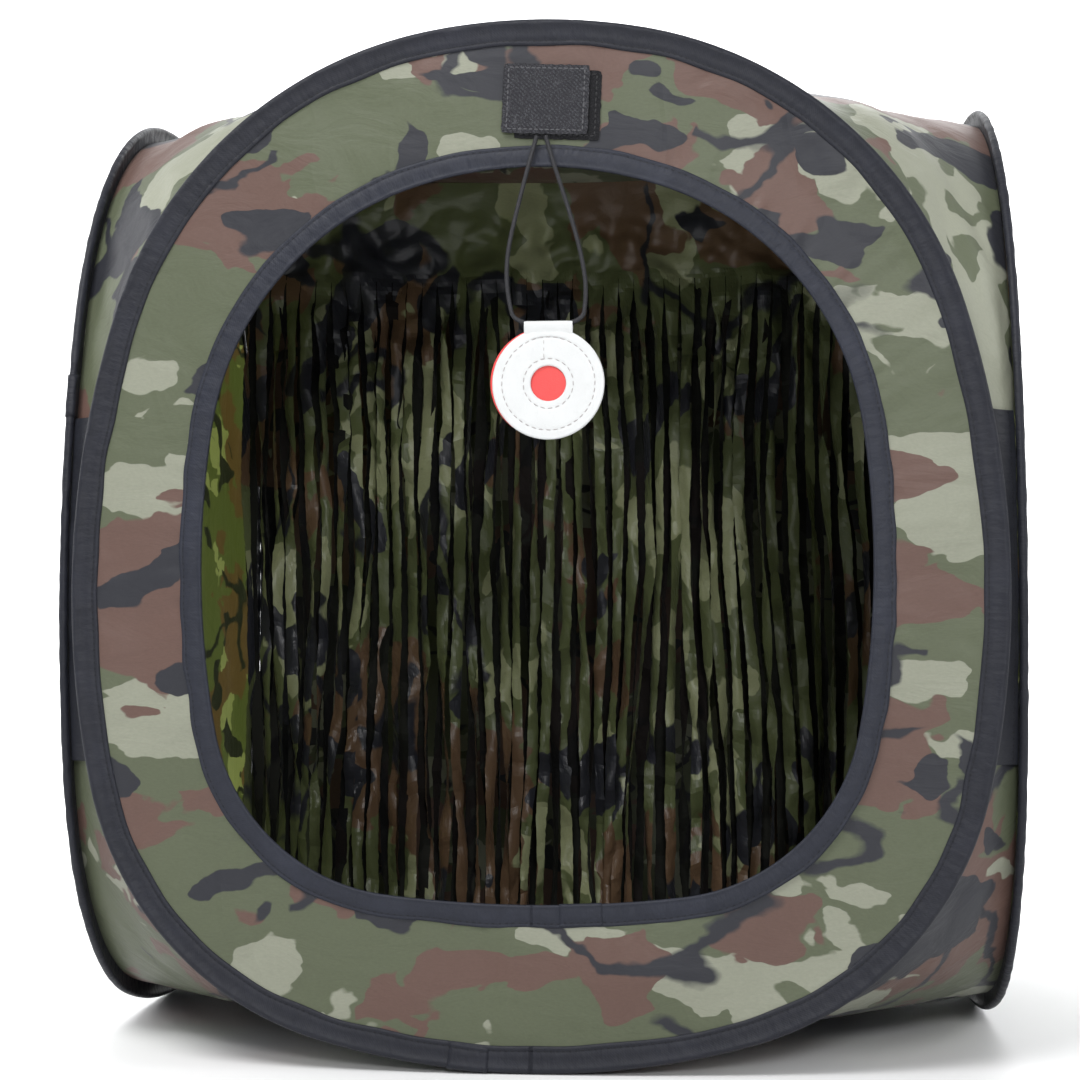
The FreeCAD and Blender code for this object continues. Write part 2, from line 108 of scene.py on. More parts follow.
STITCH_RINGS = (0.0230, 0.0123)
TAB_WIDTH = 0.024
SIDES = {"front": 0, "right": 90, "back": 180, "left": -90}

# ---- the look's own choices ----
PANEL_INSET = SLEEVE_WIDTH - 0.0035            # a panel's edge inside its sleeve
ROOF_SAG = 0.011
FLOOR_RISE = 0.0008
FLOOR_CLIMB = 0.082                            # how far in from the corners the floor starts to rise
SHORT_TAPE = 0.42                              # share left of the tape at the open corner
STRIP_COUNT = 44
SEWN_AT = 0.885                                # share of a patch's half width where it is sewn
CAMERA_AT = (0.0916, -PLANE - 1.057, 0.2068)
CAMERA_AIM = (0.0034, -PLANE, 0.2600)
CAMERA_LENS = 71.9


# ==== camera ====

def add_camera():
    data = bpy.data.cameras.new("camera")
    data.lens = CAMERA_LENS
    data.sensor_width = 36.0
    camera = bpy.data.objects.new("camera", data)
    bpy.context.scene.collection.objects.link(camera)
    camera.location = CAMERA_AT
    camera.rotation_euler = (Vector(CAMERA_AIM) - Vector(CAMERA_AT)).to_track_quat("-Z", "Y").to_euler()
    bpy.context.scene.camera = camera


# ==== mesh helpers ====

def mesh_object(name, points, faces, uv=None, material=None):
    """A smooth mesh object from arrays of points, or grids of them; uv has one pair for each point."""
    mesh = bpy.data.meshes.new(name)
    mesh.from_pydata([tuple(p) for p in np.reshape(points, (-1, 3))], [], [tuple(f) for f in faces])
    mesh.update()
    if uv is not None:
        layer = mesh.uv_layers.new(name="cloth")
        index = np.zeros(len(mesh.loops), int)
        mesh.loops.foreach_get("vertex_index", index)
        layer.data.foreach_set("uv", np.reshape(uv, (-1, 2))[index].ravel())
    mesh.polygons.foreach_set("use_smooth", [True] * len(mesh.polygons))
    piece = bpy.data.objects.new(name, mesh)
    bpy.context.scene.collection.objects.link(piece)
    if material:
        mesh.materials.append(material)
    return piece


def grid_faces(rows, columns, close_rows=False, close_columns=False):
    """Quads of a grid of rows by columns, numbered row by row."""
    last_row = rows if close_rows else rows - 1
    last_column = columns if close_columns else columns - 1
    i, j = np.meshgrid(np.arange(last_row), np.arange(last_column), indexing="ij")
    i, j = i.ravel(), j.ravel()
    i2, j2 = (i + 1) % rows, (j + 1) % columns
    return np.stack([i * columns + j, i2 * columns + j, i2 * columns + j2, i * columns + j2], 1)


def ripples(a, b, seed, size, stretch=1.0, count=16):
    """A smooth random surface, about -1 to 1, over two coordinates; size is its usual wavelength."""
    dice = np.random.default_rng(seed)
    total = np.zeros(np.broadcast(a, b).shape)
    for _ in range(count):
        angle = dice.uniform(0, 2 * math.pi)
        pitch = 2 * math.pi / (size * dice.uniform(0.6, 1.7))
        phase = dice.uniform(0, 2 * math.pi)
        total += np.cos(pitch * (math.cos(angle) * a + math.sin(angle) * b / stretch) + phase)
    return total / math.sqrt(count) / 1.3


def on_side(u, out, z, side):
    """Points of a panel: u across it, out from its middle plane, z up; turned to its side of the tent."""
    turn = math.radians(SIDES[side])
    x, y = u, -(PLANE + out)
    return np.stack([x * math.cos(turn) - y * math.sin(turn), x * math.sin(turn) + y * math.cos(turn),
                     np.broadcast_to(z, np.shape(x))], -1)


# ==== outlines ====

def small_circle(big_a, radius_a, big_b, radius_b, radius, up):
    """Centre of the circle that touches two larger circles from inside; up is 1 for the upper one, or -1."""
    dx, dz = big_b[0] - big_a[0], big_b[1] - big_a[1]
    reach_a, reach_b, apart = radius_a - radius, radius_b - radius, math.hypot(dx, dz)
    along = (reach_a ** 2 - reach_b ** 2 + apart ** 2) / (2 * apart)
    across = math.sqrt(reach_a ** 2 - along ** 2)
    turn = up * across / apart * math.copysign(1, dx)
    return (big_a[0] + dx / apart * along - turn * dz, big_a[1] + dz / apart * along + turn * dx)


def outline_arcs(width, height, base, middle, roundness):
    bottom_r, low_r, side_r, high_r, top_r = [share * width for share in roundness]
    bottom, side, top = (0.0, base + bottom_r), (width / 2 - side_r, middle), (0.0, base + height - top_r)
    low = small_circle(bottom, bottom_r, side, side_r, low_r, -1)
    high = small_circle(top, top_r, side, side_r, high_r, 1)
    a = math.atan2(low[1] - bottom[1], low[0] - bottom[0])
    b = math.atan2(low[1] - side[1], low[0] - side[0])
    c = math.atan2(high[1] - side[1], high[0] - side[0])
    d = math.atan2(high[1] - top[1], high[0] - top[0])
    half = math.pi
    return [
        (*bottom, bottom_r, -half / 2, a), (*low, low_r, a, b), (*side, side_r, b, c),
        (*high, high_r, c, d), (*top, top_r, d, half - d), (-high[0], high[1], high_r, half - d, half - c),
        (-side[0], side[1], side_r, half - c, half - b), (-low[0], low[1], low_r, half - b, half - a),
        (*bottom, bottom_r, -half - a, -half / 2),
    ]


class Outline:
    """A closed outline sampled evenly, from the bottom middle counter-clockwise."""

    def __init__(self, arcs, count):
        lengths = np.array([radius * (end - start) for _, _, radius, start, end in arcs])
        ends = np.cumsum(lengths)
        self.length = float(ends[-1])
        self.s = np.arange(count) * self.length / count
        which = np.searchsorted(ends, self.s, side="right")
        before = np.concatenate([[0], ends])[which]
        x, z, radius, start = (np.array([arc[k] for arc in arcs])[which] for k in range(4))
        angle = start + (self.s - before) / radius
        self.normal = np.stack([np.cos(angle), np.sin(angle)], 1)
        self.at = np.stack([x, z], 1) + radius[:, None] * self.normal

    def moved_in(self, inset):
        return self.at - np.reshape(inset, (-1, 1)) * self.normal


HOOP = Outline(outline_arcs(HOOP_WIDTH, HOOP_TOP, 0.0, WIDEST, HOOP_ROUNDNESS), 720)
CLEAR_WIDTH = OPENING_SIZE.x - 2 * BINDING_WIDTH
CLEAR_HEIGHT = OPENING_SIZE.z - 2 * BINDING_WIDTH
CLEAR_BASE = OPENING_MIDDLE.z - CLEAR_HEIGHT / 2
OPENING = Outline(
    outline_arcs(CLEAR_WIDTH, CLEAR_HEIGHT, CLEAR_BASE, OPENING_WIDEST, OPENING_ROUNDNESS), 720)


# ==== node helpers ====

def dye(color, share=1.0):
    """A colour with its alpha, made darker or lighter by a share."""
    return (*[c * share for c in color], 1)


class Nodes:
    """Short calls for building a material."""

    def __init__(self, name):
        self.material = bpy.data.materials.new(name)
        self.material.use_nodes = True
        self.tree = self.material.node_tree
        self.tree.nodes.clear()
        self.out = self.tree.nodes.new("ShaderNodeOutputMaterial")

    def node(self, kind, inputs, **settings):
        """Adds a node and returns its outputs; an input, by name or number, takes a value or an output."""
        made = self.tree.nodes.new("ShaderNode" + kind)
        for key, value in settings.items():
            setattr(made, key, value)
        for key, value in inputs.items():
            if isinstance(value, bpy.types.NodeSocket):
                self.tree.links.new(value, made.inputs[key])
            else:
                made.inputs[key].default_value = value
        return made.outputs

    def math(self, operation, a, b=0.0, c=0.0):
        return self.node("Math", {0: a, 1: b, 2: c}, operation=operation)[0]

    def from_half(self, value):
        """How far a noise is from its middle value."""
        return self.math("ABSOLUTE", self.math("SUBTRACT", value, 0.5))

    def mix(self, factor, a, b):
        return self.node("Mix", {0: factor, 6: a, 7: b}, data_type="RGBA")[2]

    def cloth(self, move=(0, 0), scale=(1, 1)):
        """The cloth's own coordinates, in metres."""
        uv = self.node("UVMap", {}, uv_map="cloth")[0]
        return self.node("Mapping", {"Location": (*move, 0), "Scale": (*scale, 1), 0: uv})[0]

    def space(self):
        return self.node("TexCoord", {})["Object"]

    def apart(self, where, distance):
        """The same coordinates some way off, so that a second pattern doesn't follow the first."""
        step = (distance, distance * 1.7, distance * 0.6)
        return self.node("VectorMath", {0: where, 1: step}, operation="ADD")[0]

    def noise(self, where, scale, detail=2.0, roughness=0.5, distortion=0.0, output=0):
        return self.node("TexNoise", {"Vector": where, "Scale": scale, "Detail": detail,
                                      "Roughness": roughness, "Distortion": distortion})[output]

    def cells(self, where, scale):
        return self.node("TexVoronoi", {"Vector": where, "Scale": scale})[0]

    def step(self, value, at, soft=0.004):
        """0 below the threshold, 1 above it."""
        return self.node("MapRange", {"Value": value, "From Min": at - soft, "From Max": at + soft})[0]

    def bands(self, where, pitch, direction, **more):
        """Ridges a pitch apart, in metres, across a direction."""
        scale = 2 * math.pi / (20 * pitch)
        return self.node("TexWave", {"Vector": where, "Scale": scale, **more}, bands_direction=direction)[1]

    def bump(self, height, depth, strength=1.0, normal=None):
        under = {"Normal": normal} if normal else {}
        return self.node("Bump", {"Height": height, "Distance": depth, "Strength": strength, **under})[0]

    def surface(self, color, roughness, normal=None, sheen=0.0, specular=0.5, metallic=0.0):
        bumps = {"Normal": normal} if normal else {}
        return self.node("BsdfPrincipled", {
            "Base Color": color, "Roughness": roughness, "Sheen Weight": sheen, "Sheen Roughness": 0.4,
            "Specular IOR Level": specular, "Metallic": metallic, "Coat Weight": 0.0, **bumps})[0]

    def finish(self, shader):
        self.tree.links.new(shader, self.out.inputs[0])
        return self.material


# ==== materials ====

GREEN = (0.086, 0.098, 0.060)
CREAM = (0.232, 0.240, 0.186)
BROWN = (0.108, 0.064, 0.052)
NIGHT = (0.022, 0.023, 0.029)
GLOW = (1.35, 1.55, 0.5)          # how the colours change in light that comes through the cloth
WEAVE_PITCH = 0.0005
TWILL_PITCH = 0.0007
STITCH_PITCH = 0.0032
STITCH_SHARE = 0.62
STITCH_HALF = 0.00035
# Painted shade: near black laid in the stitch groove of each tape.
CHANNEL_SHADE = (0.002, 0.002, 0.003, 1)


def camo_print(made, move, stretch, gain, tint, placed):
    """Cream and brown blots on green, with dark blots and twigs over them."""
    where = made.cloth(move, (1, stretch))
    ragged = made.noise(where, 46.0, 2.5, output="Color")
    at = made.node("VectorMath", {0: ragged, 1: (0.020, 0.020, 0), 2: where}, operation="MULTIPLY_ADD")[0]
    fields = [made.noise(at, 12.0, 0.6, 0.4, 0.25),
              made.noise(made.apart(at, 3.1), 11.0, 0.8, 0.4, 0.3),
              made.noise(made.apart(at, 7.7), 17.0, 1.2, 0.5, 0.6)]
    if placed:
        lean = made.node("Attribute", {}, attribute_name="print_lean")["Vector"]
        parts = made.node("SeparateXYZ", {0: lean})
        fields = [made.math("ADD", field, part) for field, part in zip(fields, parts)]
    lobes = made.math("MULTIPLY_ADD", made.noise(made.apart(at, 6.1), 30.0, 1.5, 0.5, 0.8), 0.40, -0.20)
    pale = made.step(made.math("ADD", fields[0], lobes), 0.568)
    brown = made.step(made.math("SUBTRACT", fields[1], lobes), 0.560)
    dark = made.step(fields[2], 0.603)
    branch = made.from_half(made.noise(made.apart(at, 5.3), 9.0, 1.0))
    twig = made.math("MULTIPLY", made.step(made.math("MULTIPLY", branch, -1.0), -0.013),
                     made.step(made.noise(made.apart(at, 9.9), 10.0, 0.5), 0.52))
    green, cream, earth = ((*[c * gain * k for c, k in zip(ink, tint)], 1) for ink in (GREEN, CREAM, BROWN))
    color = made.mix(brown, made.mix(pale, green, cream), earth)
    return made.mix(made.math("MAXIMUM", dark, twig), color, dye(NIGHT, min(gain, 1.0)))


def camo_relief(made):
    """Drag lines, soft creases and the weave."""
    drag = made.bump(made.noise(made.cloth((4, 2), (1, 1.8)), 26.0, 4.0, 0.55, 0.8), 0.004, 0.30)
    fold = made.from_half(made.noise(made.cloth((9, 5), (2.4, 1)), 7.0, 3.0, 0.5, 0.4))
    creases = made.bump(made.math("MINIMUM", fold, 0.06), 0.012, 0.35, drag)
    cloth = made.cloth()
    weave = made.math("MULTIPLY", *[made.bands(cloth, WEAVE_PITCH, way) for way in "XY"])
    return made.bump(weave, 0.00004, 0.3, creases)


def camo(name, move, clear, gain=1.0, stretch=1.5, shine=0.42, placed=False, tint=(1, 1, 1)):
    """Four-colour printed nylon taffeta; clear is the share of light that passes through."""
    made = Nodes(name)
    printed = camo_print(made, move, stretch, gain, tint, placed)
    streak = made.noise(made.cloth((0, 0), (1, 2.5)), 420.0, 4.0, 0.65)
    shade = made.math("MULTIPLY_ADD", streak, 0.30, 0.85)
    color = made.node("VectorMath", {0: printed, "Scale": shade}, operation="SCALE")[0]
    rough = made.math("MULTIPLY_ADD", streak, 0.16, shine)
    front = made.surface(color, rough, camo_relief(made), sheen=0.04, specular=0.30)
    if clear <= 0:
        return made.finish(front)
    lit = made.node("VectorMath", {0: color, 1: GLOW}, operation="MULTIPLY")[0]
    through = made.node("BsdfTranslucent", {0: lit})[0]
    return made.finish(made.node("MixShader", {0: clear, 1: front, 2: through})[0])


def stitch_mask(made, row):
    """A dashed line along the tape, a distance in from its edge, and the channel it lies in."""
    uv = made.node("SeparateXYZ", {0: made.cloth()})
    dash = made.math("LESS_THAN", made.math("FRACT", made.math("DIVIDE", uv[0], STITCH_PITCH)), STITCH_SHARE)
    away = made.math("ABSOLUTE", made.math("SUBTRACT", uv[1], row))
    channel = made.math("LESS_THAN", away, STITCH_HALF)
    return made.math("MULTIPLY", dash, channel), channel


def tape(name, color, row):
    """Black polyester binding with one row of stitching."""
    made = Nodes(name)
    cloth = made.cloth()
    fluff = made.noise(made.cloth((1, 1), (1, 3)), 180.0, 4.0, 0.65)
    wear = made.step(made.noise(cloth, 22.0, 3.0, 0.6), 0.60, 0.10)
    stitches, channel = stitch_mask(made, row)
    shade = made.mix(fluff, dye(color, 0.70), dye(color, 1.35))
    shade = made.mix(made.math("MULTIPLY", wear, 0.35), shade, dye(color, 1.9))
    # The stitch groove is painted near black: painted shade where the seam pulls the tape in.
    shade = made.mix(made.math("MULTIPLY", channel, 0.55), shade, CHANNEL_SHADE)
    shade = made.mix(stitches, shade, dye(color, 0.9))
    twill = made.math("ADD", made.bands(cloth, TWILL_PITCH, "DIAGONAL"), made.noise(cloth, 1500.0, 2.0, 0.6))
    pucker = made.bump(made.noise(made.cloth((2, 0), (2.2, 1)), 70.0, 3.0, 0.55), 0.0022, 0.55)
    rib = made.bump(twill, 0.00005, 0.45, pucker)
    sunk = made.bump(made.math("SUBTRACT", stitches, made.math("MULTIPLY", channel, 0.6)), 0.0003, 0.7, rib)
    rough = made.math("MULTIPLY_ADD", fluff, 0.25, 0.42)
    return made.finish(made.surface(shade, rough, sunk, sheen=0.02, specular=0.26))


def hook_tape(name, color, row_pitch, fuzz):
    """Hook or loop tape: rows of tiny hooks, or tangled fuzz."""
    made = Nodes(name)
    where = made.space()
    rows = made.bands(where, row_pitch, "DIAGONAL", **{"Distortion": 2.2, "Detail Scale": 400.0})
    grains = made.cells(where, 1100.0)
    tangle = made.math("MULTIPLY", made.noise(where, 900.0, 4.0, 0.7, 1.5), fuzz)
    lift = made.math("ADD", made.math("MULTIPLY", rows, 1.0 - fuzz),
                     made.math("ADD", made.math("MULTIPLY", grains, 0.6), tangle))
    # Spots at the hook tips, painted pale below: painted glints.
    hooks = made.math("SUBTRACT", 1.0, made.step(grains, 0.34, 0.10))
    lint = made.step(made.noise(made.apart(where, 2.0), 320.0, 5.0, 0.7), 0.62, 0.05)
    # The colour follows the height of the rows and fuzz: painted shade in the hollows, painted highlight on
    # the tops.
    shade = made.mix(lift, dye(color, 0.3), dye(color, 1.9))
    shade = made.mix(made.math("MULTIPLY", hooks, 0.5 * (1.0 - fuzz)), shade, (0.20, 0.20, 0.22, 1))
    shade = made.mix(made.math("MULTIPLY", lint, 0.35 * (1.0 - fuzz)), shade, (0.24, 0.24, 0.26, 1))
    return made.finish(made.surface(shade, 0.8, made.bump(lift, 0.0006, 1.0), sheen=0.06, specular=0.2))


def leather(name, color, dark):
    """Coated target leather with a fine pebble grain and a little soiling."""
    made = Nodes(name)
    where = made.space()
    soil = made.noise(where, 70.0, 4.0, 0.6)
    scuff = made.step(made.noise(made.apart(where, 4.0), 210.0, 4.0, 0.7), 0.66, 0.08)
    shade = made.mix(soil, dye(color), dye(dark))
    shade = made.mix(made.math("MULTIPLY", scuff, 0.12), shade, dye(dark, 0.6))
    rough = made.math("MULTIPLY_ADD", soil, 0.2, 0.4)
    grain = made.bump(made.cells(where, 1300.0), 0.00012, 0.5)
    return made.finish(made.surface(shade, rough, grain, specular=0.4))


def braid(name):
    """Woven cover of an elastic cord."""
    made = Nodes(name)
    where = made.space()
    shade = made.mix(made.noise(where, 1600.0, 3.0, 0.6), (0.004, 0.004, 0.005, 1), (0.040, 0.040, 0.045, 1))
    weave = made.bump(made.cells(where, 2100.0), 0.0002, 0.8)
    return made.finish(made.surface(shade, 0.55, weave, sheen=0.05, specular=0.3))


def thread(name, color):
    """Twisted sewing thread."""
    made = Nodes(name)
    ply = made.node("TexWave", {"Vector": made.space(), "Scale": 900.0}, bands_direction="DIAGONAL")[1]
    # Darker between the plies: painted shade in the grooves of the twist.
    shade = made.mix(ply, dye(color, 0.7), dye(color))
    return made.finish(made.surface(shade, 0.6, made.bump(ply, 0.0001, 0.6), sheen=0.2))


def metal(name, color, roughness):
    """Drawn wire or crimped sleeve, with a few dull spots."""
    made = Nodes(name)
    spots = made.noise(made.space(), 240.0, 4.0, 0.65)
    shade = made.mix(spots, dye(color, 0.6), dye(color))
    rough = made.math("MULTIPLY_ADD", spots, 0.3, roughness)
    return made.finish(made.surface(shade, rough, made.bump(spots, 0.00005, 0.4), metallic=1.0))


# ==== tapes swept round an outline ====

def fold_profile(bulge, width, ply, seam):
    """Section of a tape folded over an edge: (distance in from the fold, distance from the middle)."""
    bend = np.radians(np.linspace(125, -125, 15))
    round_part = [(bulge - bulge * math.cos(b), bulge * math.sin(b)) for b in bend]
    dent = 0.0007
    flank = [(width, ply * 0.72), (seam + dent, ply * 0.95), (seam, ply * 0.55), (seam - dent, ply * 0.98),
             ((seam + 2 * bulge) / 2, ply * 1.02), (2.5 * bulge, ply * 1.12)]
    other = [(e, -t) for e, t in reversed(flank)]
    return np.array(flank + round_part + other + [(width + 0.0002, 0.0)])


def tape_round(name, outline, inwards, profile, side, material, seed, part=None, proud=0.0):
    """A folded tape swept round a whole outline, or over a part of it given as (from, to) lengths."""
    if part:
        keep = np.nonzero((outline.s >= part[0]) & (outline.s <= part[1]))[0]
    else:
        keep = np.arange(len(outline.s))
    s = outline.s[keep][:, None]
    at = outline.at[keep][:, None, :]
    normal = outline.normal[keep][:, None, :]
    lean = profile[None, :, 0]
    thick = profile[None, :, 1] + np.sign(profile[None, :, 1]) * proud
    theta = 2 * math.pi * s / outline.length
    wavy = ripples(np.cos(theta), np.sin(theta), seed, 0.16)
    inner = np.clip(lean / profile[:, 0].max(), 0, 1)
    lean = lean + inner * 0.0005 * wavy - proud
    crimp = ripples(s, lean, seed + 1, 0.011, 0.4) * np.clip(1 - np.abs(theta / math.pi - 1) ** 12, 0, 1)
    out = thick * (1 + 0.10 * crimp) + 0.00012 * inner ** 2 * ripples(s, lean * 0, seed + 2, 0.03)
    place = at - (1 if inwards else -1) * lean[..., None] * normal
    points = on_side(place[..., 0], out, place[..., 1], side)
    rows, columns = points.shape[:2]
    uv = np.stack(np.broadcast_arrays(s, profile[None, :, 0]), -1)
    faces = [tuple(f) for f in grid_faces(rows, columns, close_rows=part is None, close_columns=True)]
    if part:
        faces += [tuple(range(columns)), tuple(reversed(range((rows - 1) * columns, rows * columns)))]
    return mesh_object(name, points, faces, uv, material)


def add_tapes(black, binding):
    sleeve = fold_profile(SLEEVE_RADIUS, SLEEVE_WIDTH, 0.00105, SLEEVE_SEAM)
    for number, side in enumerate(SIDES):
        piece = tape_round(side + "_sleeve", HOOP, True, sleeve, side, black, 10 + number)
        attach(piece, side)
        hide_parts(side + "_hoop_sleeve")
        end = HOOP.length - 0.020 if side == "front" else HOOP.length * 0.31
        lap = tape_round(side + "_sleeve_lap", HOOP, True, sleeve, side, black, 20 + number,
                         (end - 0.024, end), 0.00045)
        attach(lap, side)
    fold = fold_profile(0.0011, BINDING_WIDTH, 0.00095, BINDING_SEAM)
    piece = tape_round("opening_tape", OPENING, False, fold, "front", binding, 31)
    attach(piece, "front")
    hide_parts("opening_binding")
    lap = tape_round("opening_tape_lap", OPENING, False, fold, "front", binding, 32, (0.012, 0.034), 0.0004)
    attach(lap, "front")


# ==== panels ====

def slack(u, z, s, edge, seed, size=1.0):
    """How far a sewn panel stands out: soft waves in the middle, small puckers along its seams."""
    free = 1 - np.exp(-edge / 0.030)
    waves = 0.0026 * ripples(u, z, seed, 0.20, 1.4) + 0.0013 * ripples(u, z, seed + 1, 0.065, 1.6)
    bare = np.clip((edge - 0.0030) / 0.0060, 0, 1)
    pucker = 0.0010 * np.exp(-edge / 0.012) * ripples(s, edge * 0.3, seed + 2, 0.017)
    pulls = 0.0006 * np.exp(-edge / 0.040) * ripples(s, edge * 0.2, seed + 3, 0.042)
    return size * bare * (free * waves + pucker + pulls)


def round_trip(outline):
    """A length along an outline that comes back to the start, so that a pattern closes on itself."""
    turn = 2 * math.pi * np.arange(len(outline.s))[:, None] / len(outline.s)
    return 0.5 * outline.length / math.pi * np.sin(turn) + 0.5 * outline.length / math.pi * np.cos(turn)


# Blots listed for the front ring: across, up, half width and half height, in millimetres.
PALE_PLACES = ((-207, 340, 18, 10), (-202, 283, 26, 13), (-188, 165, 24, 19), (-141, 452, 24, 8),
               (-58, 497, 26, 6), (18, 502, 12, 6), (-31, 457, 14, 5), (109, 464, 16, 8),
               (192, 378, 21, 15), (194, 307, 30, 7), (197, 258, 30, 10), (199, 192, 26, 9),
               (165, 148, 12, 8), (170, 101, 36, 11), (72, 57, 24, 14), (-21, 35, 8, 13),
               (-131, 52, 14, 11), (-202, 82, 12, 12))
BROWN_PLACES = ((-85, 454, 44, 21), (-142, 420, 38, 11), (55, 456, 42, 22), (114, 434, 28, 22),
                (101, 486, 26, 12), (-202, 226, 26, 24), (197, 231, 30, 12), (190, 291, 26, 8),
                (126, 65, 26, 22), (45, 45, 18, 20), (-8, 50, 26, 8), (-90, 88, 18, 6), (-205, 120, 10, 10))
DARK_PLACES = ((-60, 455, 8, 18), (-21, 477, 8, 14), (50, 496, 34, 7), (141, 450, 12, 10), (-178, 139, 16, 9),
               (-65, 70, 14, 11), (-8, 63, 42, 8), (-100, 35, 12, 14), (209, 358, 10, 8), (-130, 425, 30, 5),
               (110, 500, 14, 8), (165, 60, 12, 12), (75, 482, 18, 6))


def print_lean(piece, u, z):
    """Stores how far the print leans towards each colour, so that its blots fall where they are listed."""
    rows = []
    for places, low, high in ((PALE_PLACES, 0.055, 0.21), (BROWN_PLACES, 0.045, 0.29),
                              (DARK_PLACES, 0.030, 0.17)):
        pull = np.zeros(u.shape)
        for x0, z0, wide, tall in places:
            far = ((u * 1000 - x0) / (wide * 1.3)) ** 2 + ((z * 1000 - z0) / (tall * 1.2)) ** 2
            pull = np.maximum(pull, np.exp(-far))
        rows.append(high * pull - low)
    store = piece.data.attributes.new("print_lean", "FLOAT_VECTOR", "POINT")
    store.data.foreach_set("vector", np.stack(rows, -1).reshape(-1).astype(np.float32))


def add_front_panel(material):
    inner = OPENING.moved_in(-0.0045)[:, None, :]
    outer = HOOP.moved_in(PANEL_INSET)[:, None, :]
    share = np.linspace(0, 1, 30)[None, :, None]
    flat = inner + (outer - inner) * share
    u, z = flat[..., 0], flat[..., 1]
    width = np.linalg.norm(outer - inner, axis=-1)
    edge = np.minimum(share[..., 0], 1 - share[..., 0]) * width
    beside = ((u - PATCH_MIDDLE.x) / 0.038) ** 4 + ((z - PATCH_MIDDLE.z) / 0.034) ** 4
    points = on_side(u, slack(u, z, round_trip(HOOP), edge, 41) * (1 - np.exp(-beside)), z, "front")
    faces = grid_faces(*u.shape, close_rows=True)
    piece = mesh_object("front_ring", points, faces, np.stack([u, z], -1), material)
    print_lean(piece, u, z)
    sew_panel(piece, "front")


def add_disc_panel(side, material, seed):
    outer = HOOP.moved_in(PANEL_INSET)[:, None, :]
    middle = np.array([0.0, HOOP_TOP / 2])
    share = np.linspace(0.0, 1, 44)[None, :, None] ** 0.85
    flat = middle + (outer - middle) * share
    u, z = flat[..., 0], flat[..., 1]
    edge = (1 - share[..., 0]) * np.linalg.norm(outer - middle, axis=-1)
    points = on_side(u, slack(u, z, round_trip(HOOP), edge, seed, 1.1), z, side)
    faces = grid_faces(*u.shape, close_rows=True)
    piece = mesh_object(side + "_wall", points, faces, np.stack([u, z], -1), material)
    weld(piece)
    sew_panel(piece, side)


def sew_panel(piece, side):
    """Ties a panel to its hoop, and hides the CAD panel it stands for."""
    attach(piece, side)
    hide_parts(side + "_panel")


def weld(piece):
    """Joins points that lie together, as in the middle of a round grid."""
    work = bmesh.new()
    work.from_mesh(piece.data)
    bmesh.ops.remove_doubles(work, verts=work.verts, dist=1e-6)
    bmesh.ops.dissolve_degenerate(work, edges=work.edges, dist=1e-7)
    work.to_mesh(piece.data)
    work.free()


# ==== roof and floor ====

SKIN_HALF = PLANE - 0.0016
RIGHT_HALF = HOOP.moved_in(SKIN_EDGE)[: len(HOOP.s) // 2]
UPPER = RIGHT_HALF[RIGHT_HALF[:, 1] >= WIDEST][::-1]
LOWER = RIGHT_HALF[RIGHT_HALF[:, 1] <= WIDEST]


def skin_shape(x, y, upper):
    """Height of the roof, or of the floor, over a place in plan, before wrinkles."""
    past = np.abs(x) + np.abs(y) - SKIN_HALF
    if upper:
        z = np.interp(past, UPPER[:, 0], UPPER[:, 1])
        sag = ROOF_SAG * (1 - (x / SKIN_HALF) ** 2) * (1 - (y / SKIN_HALF) ** 2)
        return z - sag
    climb = np.clip((past + FLOOR_CLIMB) / FLOOR_CLIMB, 0, 1)
    flat = FLOOR_RISE + (SKIN_EDGE - FLOOR_RISE) * climb ** 2 * (3 - 2 * climb)
    return np.where(past > 0, np.interp(past, LOWER[:, 0], LOWER[:, 1]), flat)


def skin_edge(upper):
    """The rim of the roof or floor in plan: along the four hoops, and across each corner."""
    z_end = WIDEST + TAPE_HALF if upper else WIDEST - TAPE_HALF
    curve = UPPER if upper else LOWER
    order = np.argsort(curve[:, 1])
    reach = float(np.interp(z_end, curve[order, 1], curve[order, 0]))
    along = reach * np.sin(np.linspace(-1, 1, 90) * math.pi / 2 * 0.999)
    across = np.linspace(0, 1, 10)[1:-1]
    loop = []
    for turn in range(4):
        c, s = math.cos(turn * math.pi / 2), math.sin(turn * math.pi / 2)
        straight = [(u, -SKIN_HALF) for u in along]
        corner = [(reach + k * (SKIN_HALF - reach), -SKIN_HALF + k * (SKIN_HALF - reach)) for k in across]
        loop += [(x * c - y * s, x * s + y * c) for x, y in straight + corner]
    return np.array(loop), reach


